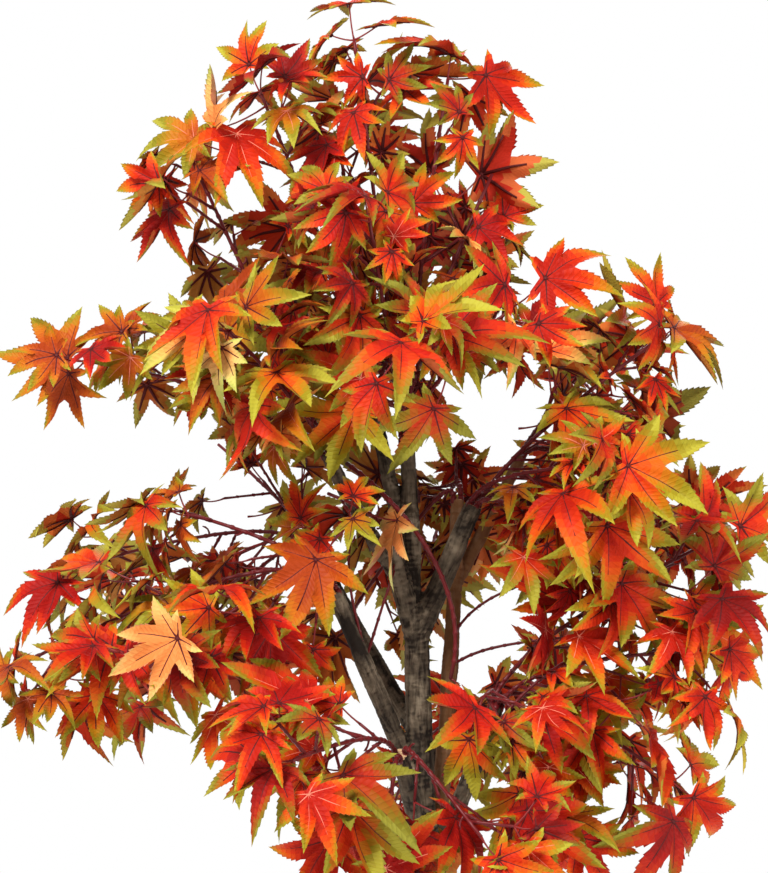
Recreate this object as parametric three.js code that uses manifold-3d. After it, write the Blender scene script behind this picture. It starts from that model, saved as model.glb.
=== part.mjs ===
// An artificial maple tree: a real-wood trunk and boughs, cut short, with moulded plastic stems set
// into their ends that carry lobed silk leaves. Millimetres, +Z up. The origin is the middle of the
// flat cut under the trunk; the tree's front, the side it is dressed for, looks along -Y.
import * as THREE from "three";
import { mergeVertices } from "three/addons/utils/BufferGeometryUtils.js";
import Module from "manifold-3d";

const wasm = await Module();
wasm.setup();

// ---- Driving dimensions ------------------------------------------------------------------------

const SEAT_GAP = 0.3; // clear space where one solid sits on another
const ROOT_FLARE = 10; // extra radius of the trunk at the ground
const FLARE_FADE = 38; // height over which the flare dies away
const TRUNK_SIDES = 10;
const TRUNK_STEPS = 9;
const FOOT_CROWDING = 1.7; // the trunk's rings stand closer together towards its foot
const BOUGH_SIDES = 7;
const BOUGH_STEP = 55; // distance between the rings of a bough
const TWIG_SIDES = 3;
const STRAIGHT = [0, 0, 0]; // the bow of a limb that runs straight

// Each limb is one tapering length of wood. It leaves its parent's middle line at the fraction "along",
// and runs "length" in the direction (azimuth, rise) in degrees; "bow" moves the middle of its curve.
// The trunk has no parent: it stands on the origin and leans to the left.
const LIMBS = [
  { name: "trunk", azimuth: 180, rise: 89, length: 872, radii: [19, 12.5] },
  { name: "leader_left", parent: "trunk", along: 0.97, azimuth: 190, rise: 74,
    length: 106, radii: [11.5, 10] },
  { name: "bough_right", parent: "trunk", along: 0.97, azimuth: 356, rise: 67, length: 146,
    radii: [11.5, 10] },
  { name: "leader_mid", parent: "leader_left", along: 0.15, azimuth: 108, rise: 84, length: 185,
    bow: [4, 6, 0], radii: [9.5, 8.5] },
  { name: "leader_back", parent: "leader_mid", along: 0.3, azimuth: 145, rise: 74, length: 168,
    bow: [-4, 6, 0], radii: [8.5, 7.5] },
  { name: "bough_left_high", parent: "leader_left", along: 0.6, azimuth: 183, rise: 60, length: 145,
    bow: [-6, -4, 0], radii: [8.5, 7.5] },
  { name: "companion_stem", parent: "trunk", along: 0.62, azimuth: 52, rise: 83, length: 448,
    bow: [12, 15, 0], radii: [10, 7.5] },
  { name: "bough_left_low", parent: "trunk", along: 0.79, azimuth: 200, rise: 66,
    length: 227, radii: [10, 8.5] },
  { name: "bough_right_low", parent: "trunk", along: 0.7, azimuth: 349, rise: 67, length: 187,
    bow: [8, 0, -6], radii: [10, 8.5] },
  { name: "bough_front_low", parent: "trunk", along: 0.74, azimuth: 256, rise: 46,
    length: 140, radii: [10, 8.5] },
  { name: "bough_back_left", parent: "trunk", along: 0.86, azimuth: 133, rise: 48, length: 235,
    bow: [0, 0, -10], radii: [10, 8.5] },
  { name: "bough_back_right", parent: "companion_stem", along: 0.8, azimuth: 48, rise: 50, length: 170,
    radii: [7.5, 6.5] },
  { name: "bough_back_low", parent: "trunk", along: 0.66, azimuth: 86, rise: 48, length: 188,
    bow: [0, 0, -8], radii: [10, 8.5] },
];

const CROWN_SEED = 11; // another whole number grows another crown on the same limbs

// Each mass of foliage is one plastic stem set into the cut end of a limb. Its tip lies "reach" away
// from that end in the direction (azimuth, rise); "sprigs" side twigs leave it, three leaves on each.
const SPRAY_COLUMNS = ["name", "limb", "azimuth", "rise", "reach", "sprigs", "tint"];
const SPRAYS = [
  ["top", "leader_mid", 195, 83, 405, 4, "flame"],
  ["top_right", "leader_mid", 345, 84, 365, 1, "scarlet"],
  ["top_left", "leader_back", 190, 70, 335, 3, "flame"],
  ["top_back", "leader_back", 120, 75, 300, 1, "flame"],
  ["upper_left", "bough_left_high", 182, 65, 340, 4, "rust"],
  ["left_mid", "bough_left_high", 185, 22, 245, 3, "rust"],
  ["left_front", "bough_left_high", 232, 38, 185, 2, "rust"],
  ["crown_front", "leader_mid", 268, 24, 200, 2, "scarlet"],
  ["crown_high", "leader_mid", 255, 60, 240, 3, "scarlet"],
  ["crown_right", "leader_mid", 335, 50, 170, 2, "flame"],
  ["upper_right", "leader_mid", 8, 72, 285, 3, "scarlet"],
  ["crown_back_left", "leader_back", 130, 30, 220, 1, "rust"],
  ["crown_back_right", "leader_back", 60, 40, 235, 1, "flame"],
  ["left_inner", "leader_left", 235, 25, 110, 1, "rust"],
  ["left_low_high", "bough_left_low", 175, 26, 175, 2, "rust"],
  ["left_low_long", "bough_left_low", 176, -13, 310, 4, "rust"],
  ["left_low_front", "bough_left_low", 205, -20, 215, 3, "scarlet"],
  ["left_low_drop", "bough_left_low", 215, -45, 150, 1, "flame"],
  ["front_left", "bough_front_low", 243, 6, 200, 2, "scarlet"],
  ["front_down", "bough_front_low", 262, -40, 125, 1, "flame"],
  ["front_right", "bough_front_low", 302, -25, 140, 2, "scarlet"],
  ["right_high", "bough_right", 0, 43, 245, 4, "flame"],
  ["right_high_front", "bough_right", 322, 14, 160, 2, "flame"],
  ["right_inner", "bough_right", 28, 2, 115, 1, "flame"],
  ["right_mid", "bough_right", 335, -22, 125, 1, "scarlet"],
  ["right_mid_long", "bough_right_low", 0, 37, 260, 3, "scarlet"],
  ["right_low", "bough_right_low", 345, 17, 210, 3, "flame"],
  ["right_low_drop", "bough_right_low", 352, -23, 185, 2, "flame"],
  ["right_foot", "bough_right_low", 325, -50, 125, 1, "flame"],
  ["trunk_right", "bough_right_low", 262, 10, 100, 1, "scarlet"],
  ["trunk_back", "companion_stem", 150, -45, 170, 1, "rust"],
  ["back_left_high", "bough_back_left", 131, 32, 215, 2, "rust"],
  ["back_left", "bough_back_left", 159, -3, 255, 2, "rust"],
  ["back_left_low", "bough_back_left", 143, -35, 270, 1, "scarlet"],
  ["back_right_high", "bough_back_right", 52, 37, 165, 2, "flame"],
  ["back_right", "bough_back_right", 17, -20, 200, 2, "scarlet"],
  ["back_right_low", "bough_back_low", 30, 5, 220, 2, "flame"],
  ["back_low", "bough_back_low", 100, -25, 190, 2, "scarlet"],
  ["back_mid", "companion_stem", 97, -18, 240, 2, "rust"],
].map((row) => Object.fromEntries(row.map((value, i) => [SPRAY_COLUMNS[i], value])));

// Plastic stems, side twigs and leaf stalks.
const STEM_RADII = [2.4, 1.7];
const STEM_STEPS = 4;
const STEM_RING = 5.6; // distance of the stems from the middle of a limb's cut end
const STEM_MARGIN = 3; // least distance from a stem's middle line to the rim of that end
const STEM_STRAIGHT = 0.24; // share of the reach over which a stem still follows its limb
const FIRST_SPRIG = 0.3; // sprigs start this far along the stem
const LAST_SPRIG = 0.92;
const SPRIG_LENGTH = [34, 66]; // from the stem to the node that its side leaves stand on
const SPRIG_SPREAD = [44, 60]; // angle between a stem and its sprig
const SPRIG_RADII = [0.8, 1.4]; // slim at the root that is sunk in the stem, full at the end leaf
const GOLDEN_TURN = 137.5; // each sprig is turned this far round the stem from the last
const TURN_PLAY = 60; // and strays from that by half of this to either side
const RETRY_TURN = 50; // a sprig that finds no place is turned this much further
const STALK_RADII = [0.5, 1.1];
const STALK_LENGTH = [20, 48];
const TIP_SUNK = 3; // the stem's last leaf is rooted this far inside its tip
const STALK_SPREAD = 62; // angle between a sprig and its two side leaves
const STALK_LEAN = 0.3; // how far a side leaf's stalk strays from that

// A leaf is a star of lobes. Each corner of its outline is an angle from the middle rib and a distance
// from the stalk, as a share of the middle lobe's length.
const LOBE_LENGTH = 68;
const LEAF_SIZES = [0.85, 1.3]; // smallest and largest leaf, times the lobe length
const LEAF_THICKNESS = 1.3;
const LEAF_CURL = [0.06, 0.3]; // how far the lobes' tips bend down, as a share of their length
const LEAF_CORNERS = [
  [0, 1], [19, 0.48], [38, 0.88], [58, 0.42], [80, 0.66], [180, 0.2],
  [-80, 0.66], [-58, 0.42], [-38, 0.88], [-19, 0.48],
];

// How a leaf turns its face: outwards and to the front or back it is seen from, upwards, and at random.
const TURN_OUT = 0.8;
const TURN_UP = 0.65;
const TURN_RANDOM = 0.8;
const FRONT_PULL = 1.3;
const BACK_BEGINS = 40; // leaves behind this depth turn to the back
const STALK_RISE = 0.35; // least cosine between a stalk and its leaf's upper face
const RIB_DROOP = 0.45;
const RIB_RANDOM = 0.5;

const TRIES = 7; // a leaf or sprig that finds no free place in this many draws is left out
const LEAF_GAP = 1.9; // least distance between two leaves
const TWIG_GAP = 1.0; // least distance from a leaf or stalk to any wood or stem
const LOWEST_LEAF = 500; // no leaf hangs below this height or stands above the next
const HIGHEST_LEAF = 1505;
const LIMB_RODS = 12; // straight lengths that stand for a limb's curve
const FACE_SAMPLES = 5; // places along a rod that are looked at for a face under them
const FACE_RIM = 0.02; // how far past its edges a face still counts, as a share of its sides

const TINTS = { flame: 0xd2491a, scarlet: 0xc4301b, rust: 0xb0562a };
const LEAF_ROUGHNESS = 0.7;
const WOOD = 0x8a7f74;
const WOOD_ROUGHNESS = 0.9;

// ---- Small helpers -----------------------------------------------------------------------------

const UP = new THREE.Vector3(0, 0, 1);
const radians = THREE.MathUtils.degToRad;
const between = (range, share) => range[0] + (range[1] - range[0]) * share;

// The unit vector at an azimuth from +X towards +Y and a rise above level, in degrees.
function heading(azimuth, rise) {
  const level = Math.cos(radians(rise));
  return new THREE.Vector3(
    level * Math.cos(radians(azimuth)),
    level * Math.sin(radians(azimuth)),
    Math.sin(radians(rise)),
  );
}

// One seed from several whole numbers.
const seedOf = (...numbers) => numbers.reduce((seed, n) => (Math.imul(seed, 486187739) + n) | 0, 17);

// Each spray grows from a seed of its own, by its place in the list.
SPRAYS.forEach((spray, i) => {
  spray.seed = seedOf(CROWN_SEED, i);
});

// A repeatable stream of numbers from 0 to 1.
function stream(seed) {
  let state = seed >>> 0;
  return () => {
    state = (state + 0x6d2b79f5) >>> 0;
    let t = Math.imul(state ^ (state >>> 15), state | 1);
    t ^= t + Math.imul(t ^ (t >>> 7), t | 61);
    return ((t ^ (t >>> 14)) >>> 0) / 4294967296;
  };
}

// An even random direction from two draws.
function anyDirection(draw) {
  const z = 2 * draw() - 1;
  const turn = 2 * Math.PI * draw();
  const level = Math.sqrt(1 - z * z);
  return new THREE.Vector3(level * Math.cos(turn), level * Math.sin(turn), z);
}

// A unit vector square to the axis, turned about it by an angle in degrees.
function squareTo(axis, turn) {
  const reference = Math.abs(axis.z) < 0.9 ? UP : new THREE.Vector3(1, 0, 0);
  const side = new THREE.Vector3().crossVectors(axis, reference).normalize();
  return side.applyAxisAngle(axis, radians(turn));
}

// The direction of a quadratic curve at a share of its length.
function tangentAt(curve, share) {
  const first = new THREE.Vector3().subVectors(curve.v1, curve.v0).multiplyScalar(1 - share);
  const second = new THREE.Vector3().subVectors(curve.v2, curve.v1).multiplyScalar(share);
  return first.add(second).normalize();
}

const MERGE_DISTANCE = 1e-4;

// A closed geometry as a solid that can be joined and cut.
function solidOf(geometry) {
  const bare = geometry.clone();
  bare.deleteAttribute("normal");
  bare.deleteAttribute("uv");
  const merged = mergeVertices(bare, MERGE_DISTANCE);
  return new wasm.Manifold(
    new wasm.Mesh({
      numProp: 3,
      vertProperties: merged.attributes.position.array,
      triVerts: new Uint32Array(merged.index.array),
    }),
  );
}

// The largest single body of a solid, as a three.js geometry.
function geometryOf(solid) {
  const bodies = solid.decompose();
  const largest = bodies.reduce((a, b) => (b.volume() > a.volume() ? b : a));
  const mesh = largest.getMesh();
  const geometry = new THREE.BufferGeometry();
  geometry.setAttribute("position", new THREE.BufferAttribute(new Float32Array(mesh.vertProperties), 3));
  geometry.setIndex(new THREE.BufferAttribute(new Uint32Array(mesh.triVerts), 1));
  geometry.computeVertexNormals();
  return geometry;
}

// A closed round bar that follows a curve: a unit cylinder whose rings are moved onto it. The rings
// are evenly spaced unless a crowding above 1 draws them towards the start. "Grown" swells it evenly.
function bar(curve, steps, sides, radiusAt, { crowding = 1, grown = 0 } = {}) {
  const geometry = new THREE.CylinderGeometry(1, 1, 1, sides, steps, false);
  const side = squareTo(tangentAt(curve, 0), 0);
  const position = geometry.attributes.position;
  const corner = new THREE.Vector3();
  for (let i = 0; i < position.count; i++) {
    corner.fromBufferAttribute(position, i);
    const share = Math.pow(corner.y + 0.5, crowding);
    const radius = radiusAt(share) + grown / Math.cos(Math.PI / sides);
    const centre = curve.getPoint(share);
    const tangent = tangentAt(curve, share);
    const second = new THREE.Vector3().crossVectors(tangent, side).normalize();
    const first = new THREE.Vector3().crossVectors(second, tangent);
    centre.addScaledVector(first, corner.x * radius);
    centre.addScaledVector(second, -corner.z * radius);
    if (share === 1) centre.addScaledVector(tangent, grown);
    position.setXYZ(i, centre.x, centre.y, centre.z);
  }
  return geometry;
}

// ---- Rods and blades: the plain shapes that the growth rule keeps apart --------------------------

const rod = (a, b, radius, owner) => ({ a, b, radius, owner });

function rodsAlong(curve, steps, radiusAt, owner) {
  const rods = [];
  for (let i = 0; i < steps; i++) {
    const radius = radiusAt(i / steps);
    rods.push(rod(curve.getPoint(i / steps), curve.getPoint((i + 1) / steps), radius, owner));
  }
  return rods;
}

// The distance between two straight lengths, a to b and c to d.
function spanDistance(a, b, c, d) {
  const u = new THREE.Vector3().subVectors(b, a);
  const v = new THREE.Vector3().subVectors(d, c);
  const w = new THREE.Vector3().subVectors(a, c);
  const uu = u.dot(u);
  const uv = u.dot(v);
  const vv = v.dot(v);
  const uw = u.dot(w);
  const vw = v.dot(w);
  const square = uu * vv - uv * uv;
  let s = square > 1e-9 ? THREE.MathUtils.clamp((uv * vw - vv * uw) / square, 0, 1) : 0;
  const t = THREE.MathUtils.clamp((uv * s + vw) / vv, 0, 1);
  s = THREE.MathUtils.clamp((uv * t - uw) / uu, 0, 1);
  return w.addScaledVector(u, s).addScaledVector(v, -t).length();
}

// One triangle of a leaf, with what is needed to tell whether a point lies over it.
function face(a, b, c) {
  const u = new THREE.Vector3().subVectors(b, a);
  const v = new THREE.Vector3().subVectors(c, a);
  const normal = new THREE.Vector3().crossVectors(u, v);
  const area = normal.length();
  normal.divideScalar(area);
  return { a, u, v, normal, uu: u.dot(u), uv: u.dot(v), vv: v.dot(v), square: area * area };
}

// Whether a rod from a to b, of this radius, meets the face.
function rodMeetsFace(a, b, radius, f) {
  const start = f.normal.dot(a) - f.normal.dot(f.a);
  const end = f.normal.dot(b) - f.normal.dot(f.a);
  if ((start > radius && end > radius) || (start < -radius && end < -radius)) return false;
  const slope = end - start;
  let low = 0;
  let high = 1;
  if (Math.abs(slope) > 1e-9) {
    const first = (-radius - start) / slope;
    const second = (radius - start) / slope;
    low = Math.max(0, Math.min(first, second));
    high = Math.min(1, Math.max(first, second));
  }
  const point = new THREE.Vector3();
  for (let i = 0; i < FACE_SAMPLES; i++) {
    point.lerpVectors(a, b, low + ((high - low) * i) / (FACE_SAMPLES - 1)).sub(f.a);
    const pu = point.dot(f.u);
    const pv = point.dot(f.v);
    const s = (f.vv * pu - f.uv * pv) / f.square;
    const t = (f.uu * pv - f.uv * pu) / f.square;
    if (s > -FACE_RIM && t > -FACE_RIM && s + t < 1 + FACE_RIM) return true;
  }
  return false;
}

const bladesApart = (p, q) => p.centre.distanceTo(q.centre) > p.size + q.size + LEAF_GAP;

function bladesMeet(p, q) {
  if (bladesApart(p, q)) return false;
  const meets = (edges, faces) => edges.some(([a, b]) => faces.some((f) => rodMeetsFace(a, b, LEAF_GAP, f)));
  return meets(p.edges, q.faces) || meets(q.edges, p.faces);
}

function bladeMeetsRod(blade, r, gap) {
  const reach = r.radius + gap;
  const middle = new THREE.Vector3().addVectors(r.a, r.b).multiplyScalar(0.5);
  if (middle.distanceTo(blade.centre) > blade.size + r.a.distanceTo(r.b) / 2 + reach) return false;
  if (blade.faces.some((f) => rodMeetsFace(r.a, r.b, reach, f))) return true;
  return blade.edges.some(([a, b]) => spanDistance(a, b, r.a, r.b) < reach);
}

const rodsMeet = (p, q, gap) => spanDistance(p.a, p.b, q.a, q.b) < p.radius + q.radius + gap;

// ---- Trunk and boughs --------------------------------------------------------------------------

function limbCurve(row, curves) {
  const start = row.parent ? curves[row.parent].getPoint(row.along) : new THREE.Vector3();
  const end = heading(row.azimuth, row.rise).multiplyScalar(row.length).add(start);
  const middle = new THREE.Vector3().addVectors(start, end).multiplyScalar(0.5);
  middle.add(new THREE.Vector3(...(row.bow || STRAIGHT)));
  return new THREE.QuadraticBezierCurve3(start, middle, end);
}

// The trunk's curve is set upright at the ground, so that its lowest ring is a level cut.
function uprightFoot(curve) {
  curve.v1.x = curve.v0.x;
  curve.v1.y = curve.v0.y;
  return curve;
}

function limbRadius(row) {
  return (share) => {
    const flare = row.parent ? 0 : ROOT_FLARE * Math.exp((-share * row.length) / FLARE_FADE);
    return between(row.radii, share) + flare;
  };
}

const curves = {};
for (const row of LIMBS) {
  curves[row.name] = row.parent ? limbCurve(row, curves) : uprightFoot(limbCurve(row, curves));
}

// A limb as a solid; the trunk's rings are closer together over the flare at its foot.
function limbSolid(row, grown) {
  const sides = row.parent ? BOUGH_SIDES : TRUNK_SIDES;
  const steps = row.parent ? Math.max(2, Math.round(row.length / BOUGH_STEP)) : TRUNK_STEPS;
  const crowding = row.parent ? 1 : FOOT_CROWDING;
  return solidOf(bar(curves[row.name], steps, sides, limbRadius(row), { crowding, grown }));
}

const limbSolids = {};
for (const [index, row] of LIMBS.entries()) {
  let solid = limbSolid(row, 0);
  for (const earlier of LIMBS.slice(0, index)) solid = solid.subtract(limbSolid(earlier, SEAT_GAP));
  limbSolids[row.name] = geometryOf(solid);
}

// ---- Foliage -----------------------------------------------------------------------------------

const rods = LIMBS.flatMap((row) => rodsAlong(curves[row.name], LIMB_RODS, limbRadius(row), row.name));
const blades = [];

// The stems on one cut end stand in a ring, each on the side that it bends towards.
function stemSeats(limb) {
  const own = SPRAYS.filter((spray) => spray.limb === limb).sort((p, q) => p.azimuth - q.azimuth);
  const axis = tangentAt(curves[limb], 1);
  const end = curves[limb].getPoint(1).addScaledVector(axis, SEAT_GAP);
  const rim = limbRadius(LIMBS.find((row) => row.name === limb))(1);
  let sine = 0;
  let cosine = 0;
  own.forEach((spray, i) => {
    const lead = radians(spray.azimuth - (360 * i) / own.length);
    sine += Math.sin(lead);
    cosine += Math.cos(lead);
  });
  const first = THREE.MathUtils.radToDeg(Math.atan2(sine, cosine));
  const radius = own.length > 1 ? Math.min(STEM_RING, rim - STEM_MARGIN) : 0;
  own.forEach((spray, i) => {
    const side = heading(first + (360 * i) / own.length, 0);
    side.addScaledVector(axis, -side.dot(axis)).normalize();
    spray.seat = end.clone().addScaledVector(side, radius);
    spray.axis = axis;
  });
}
new Set(SPRAYS.map((spray) => spray.limb)).forEach(stemSeats);

function stemCurve(spray) {
  const bend = spray.seat.clone().addScaledVector(spray.axis, spray.reach * STEM_STRAIGHT);
  const tip = heading(spray.azimuth, spray.rise).multiplyScalar(spray.reach).add(spray.seat);
  return new THREE.QuadraticBezierCurve3(spray.seat, bend, tip);
}

// A leaf's blade: its joint with the stalk, its corners, and the rods and faces that stand for it.
function makeBlade(joint, rib, up, size, curl) {
  const across = new THREE.Vector3().crossVectors(up, rib);
  const corners = LEAF_CORNERS.map(([angle, share]) => {
    const reach = size * share;
    return joint
      .clone()
      .addScaledVector(rib, reach * Math.cos(radians(angle)))
      .addScaledVector(across, reach * Math.sin(radians(angle)))
      .addScaledVector(up, -curl * reach * share);
  });
  const next = (i) => corners[(i + 1) % corners.length];
  const faces = corners.map((corner, i) => face(joint, corner, next(i)));
  const edges = corners.flatMap((corner, i) => [[joint, corner], [corner, next(i)]]);
  return { joint, rib, up, across, corners, faces, edges, centre: joint, size };
}

// A closed leaf with its stalk: the star above, the same star drawn to the stalk's ring below, and
// the flat-sided stalk down to its slimmer root. The ring is where the stalk's edges meet the
// underside of the leaf.
function leafGeometry({ blade, root, radii }) {
  const count = blade.corners.length;
  const span = new THREE.Vector3().subVectors(blade.joint, root);
  const along = span.clone().normalize();
  const below = new THREE.Vector3().crossVectors(along, blade.across).normalize();
  const underside = blade.joint.clone().addScaledVector(blade.up, -LEAF_THICKNESS);
  const foot = [];
  const ring = [];
  for (let i = 0; i < TWIG_SIDES; i++) {
    const turn = (2 * Math.PI * i) / TWIG_SIDES;
    const out = below.clone().multiplyScalar(-Math.cos(turn)).addScaledVector(blade.across, Math.sin(turn));
    const start = root.clone().addScaledVector(out, radii[0]);
    const edge = span.clone().addScaledVector(out, radii[1] - radii[0]);
    const reach = underside.clone().sub(start).dot(blade.up) / edge.dot(blade.up);
    foot.push(start);
    ring.push(start.clone().addScaledVector(edge, reach));
  }
  const points = [blade.joint, ...blade.corners, ...ring, ...foot];
  const star = (i) => 1 + ((i + count) % count);
  const upper = (i) => 1 + count + (i % TWIG_SIDES);
  const lower = (i) => 1 + count + TWIG_SIDES + (i % TWIG_SIDES);
  const index = [];
  for (let i = 0; i < count; i++) {
    index.push(0, star(i), star(i + 1));
    index.push(star(i + 1), star(i), upper(nearestSide(i)));
    if (nearestSide(i) !== nearestSide(i + 1)) {
      index.push(star(i + 1), upper(nearestSide(i)), upper(nearestSide(i + 1)));
    }
  }
  for (let i = 0; i < TWIG_SIDES; i++) {
    index.push(upper(i), lower(i + 1), upper(i + 1));
    index.push(upper(i), lower(i), lower(i + 1));
  }
  index.push(lower(0), lower(2), lower(1));
  const geometry = new THREE.BufferGeometry();
  geometry.setAttribute("position", new THREE.Float32BufferAttribute(points.flatMap((p) => p.toArray()), 3));
  geometry.setIndex(index);
  return geometry;
}

// The side of the stalk's ring that lies nearest to a corner of the leaf.
function nearestSide(i) {
  const angle = (LEAF_CORNERS[i % LEAF_CORNERS.length][0] + 360) % 360;
  return Math.round((angle * TWIG_SIDES) / 360) % TWIG_SIDES;
}

// Draws one leaf on a stalk that leaves the node, and returns it where it finds a free place. The
// stalk of an end leaf is rooted further back than its node, in the stem.
function growLeaf(spray, root, node, direction, radii, draw) {
  const stalk = between(STALK_LENGTH, draw());
  const size = LOBE_LENGTH * between(LEAF_SIZES, draw());
  const curl = between(LEAF_CURL, draw());
  const lean = anyDirection(draw);
  const turn = anyDirection(draw);
  const ribTurn = anyDirection(draw);
  const along = direction.clone();
  if (root === node) along.addScaledVector(lean, STALK_LEAN).normalize();
  const joint = node.clone().addScaledVector(along, stalk);
  const outward = new THREE.Vector3(joint.x, joint.y, 0).normalize();
  outward.y += joint.y < BACK_BEGINS ? -FRONT_PULL : FRONT_PULL;
  outward.normalize();
  const up = outward.multiplyScalar(TURN_OUT).addScaledVector(UP, TURN_UP).addScaledVector(turn, TURN_RANDOM);
  up.normalize();
  if (up.dot(along) < STALK_RISE) {
    up.addScaledVector(along, -up.dot(along)).normalize();
    up.multiplyScalar(Math.sqrt(1 - STALK_RISE * STALK_RISE)).addScaledVector(along, STALK_RISE);
  }
  const rib = along.clone().addScaledVector(UP, -RIB_DROOP).addScaledVector(ribTurn, RIB_RANDOM);
  rib.addScaledVector(up, -rib.dot(up)).normalize();
  if (rib.dot(along) < 0) return null;
  const blade = makeBlade(joint, rib, up, size, curl);
  const stalkRod = rod(root, joint, radii[1], spray.name);
  return leafFits(spray, blade, stalkRod) ? { blade, stalkRod, root, radii } : null;
}

function twigFits(spray, twig) {
  if (blades.some((blade) => bladeMeetsRod(blade, twig, TWIG_GAP))) return false;
  return !rods.some((other) => other.owner !== spray.name && rodsMeet(other, twig, TWIG_GAP));
}

function leafFits(spray, blade, stalkRod) {
  if (blade.corners.some((corner) => corner.z < LOWEST_LEAF || corner.z > HIGHEST_LEAF)) return false;
  if (blades.some((other) => bladesMeet(blade, other))) return false;
  if (rods.some((other) => bladeMeetsRod(blade, other, TWIG_GAP))) return false;
  return twigFits(spray, stalkRod);
}

// Three leaves on one node: one straight on, whose stalk is rooted in the stem at "root", and a pair
// to either side, rooted in that stalk at the node.
function growCluster(spray, root, node, direction, roll, seed) {
  const leaves = [];
  const side = squareTo(direction, roll);
  const spread = radians(STALK_SPREAD);
  for (const sway of [0, 1, -1]) {
    const ahead = direction.clone();
    if (sway) ahead.multiplyScalar(Math.cos(spread)).addScaledVector(side, sway * Math.sin(spread));
    for (let attempt = 0; attempt < TRIES; attempt++) {
      const draw = stream(seedOf(seed, sway, attempt));
      const leaf = growLeaf(spray, sway ? node : root, node, ahead, sway ? STALK_RADII : SPRIG_RADII, draw);
      if (!leaf) continue;
      leaves.push(leaf);
      blades.push(leaf.blade);
      rods.push(leaf.stalkRod);
      break;
    }
    if (!leaves.length && root !== node) break;
  }
  return leaves;
}

// The place at a share of a curve that is drawn as so many straight lengths.
function onStretch(curve, steps, share) {
  const stretch = Math.min(Math.floor(share * steps), steps - 1);
  const start = curve.getPoint(stretch / steps);
  return start.lerp(curve.getPoint((stretch + 1) / steps), share * steps - stretch);
}

// One sprig that leaves the stem at a share of its length, turned round it by an angle in degrees.
function growSprig(spray, share, turn, seed) {
  const draw = stream(seed);
  const root = onStretch(spray.curve, STEM_STEPS, share);
  const tangent = tangentAt(spray.curve, share);
  const around = turn + TURN_PLAY * (draw() - 0.5);
  const length = between(SPRIG_LENGTH, draw());
  const spread = radians(between(SPRIG_SPREAD, draw()));
  const direction = squareTo(tangent, around).multiplyScalar(Math.sin(spread));
  direction.addScaledVector(tangent, Math.cos(spread));
  const node = root.clone().addScaledVector(direction, length);
  return growCluster(spray, root, node, direction, 360 * draw(), seed);
}

function growSpray(spray) {
  const leaves = [];
  const start = 360 * stream(spray.seed)();
  for (let i = 0; i < spray.sprigs; i++) {
    const share = between([FIRST_SPRIG, LAST_SPRIG], (i + 0.5) / spray.sprigs);
    let grown = [];
    for (let attempt = 0; attempt < TRIES && !grown.length; attempt++) {
      const turn = start + i * GOLDEN_TURN + attempt * RETRY_TURN;
      grown = growSprig(spray, share, turn, seedOf(spray.seed, i, attempt));
    }
    leaves.push(...grown);
  }
  const tip = spray.curve.getPoint(1);
  const ahead = tangentAt(spray.curve, 1);
  const root = tip.clone().addScaledVector(ahead, -TIP_SUNK);
  return [...leaves, ...growCluster(spray, root, tip, ahead, start, seedOf(spray.seed, spray.sprigs))];
}

function foliageSolid(spray, leaves) {
  const radiusAt = (share) => between(STEM_RADII, share);
  let solid = solidOf(bar(spray.curve, STEM_STEPS, TWIG_SIDES, radiusAt));
  for (const leaf of leaves) solid = solid.add(solidOf(leafGeometry(leaf)));
  return solid;
}

for (const spray of SPRAYS) {
  spray.curve = stemCurve(spray);
  rods.push(...rodsAlong(spray.curve, STEM_STEPS, (share) => between(STEM_RADII, share), spray.name));
}

// ---- The tree ----------------------------------------------------------------------------------

const group = new THREE.Group();

function addMesh(name, geometry, color, roughness) {
  const material = new THREE.MeshStandardMaterial({ color, roughness, metalness: 0 });
  const mesh = new THREE.Mesh(geometry, material);
  mesh.name = name;
  group.add(mesh);
}

for (const row of LIMBS) addMesh(row.name, limbSolids[row.name], WOOD, WOOD_ROUGHNESS);
for (const spray of SPRAYS) {
  const geometry = geometryOf(foliageSolid(spray, growSpray(spray)));
  addMesh(`foliage_${spray.name}`, geometry, TINTS[spray.tint], LEAF_ROUGHNESS);
}

export default group;
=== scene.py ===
# %% [markdown]
# # An artificial maple tree
# The real tree is put together from three kinds of part. The trunk and the boughs are natural wood,
# cut short. Moulded plastic stems are pushed into the cut ends of the boughs. On the stems sit
# printed cloth leaves, three to a sprig, each pressed onto a small plastic skeleton of ribs.
#
# The CAD frame settles where everything is and how large it is. This script dresses it: it grows the
# same sprays again by the same seeded rule, carries them to finer twigs, and gives every surface its
# finish. The tree is worked out in millimetres and turned into metres at the end.

# %% Load the frame
import math
from itertools import product

import bpy
import numpy as np
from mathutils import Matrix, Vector, noise


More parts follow.
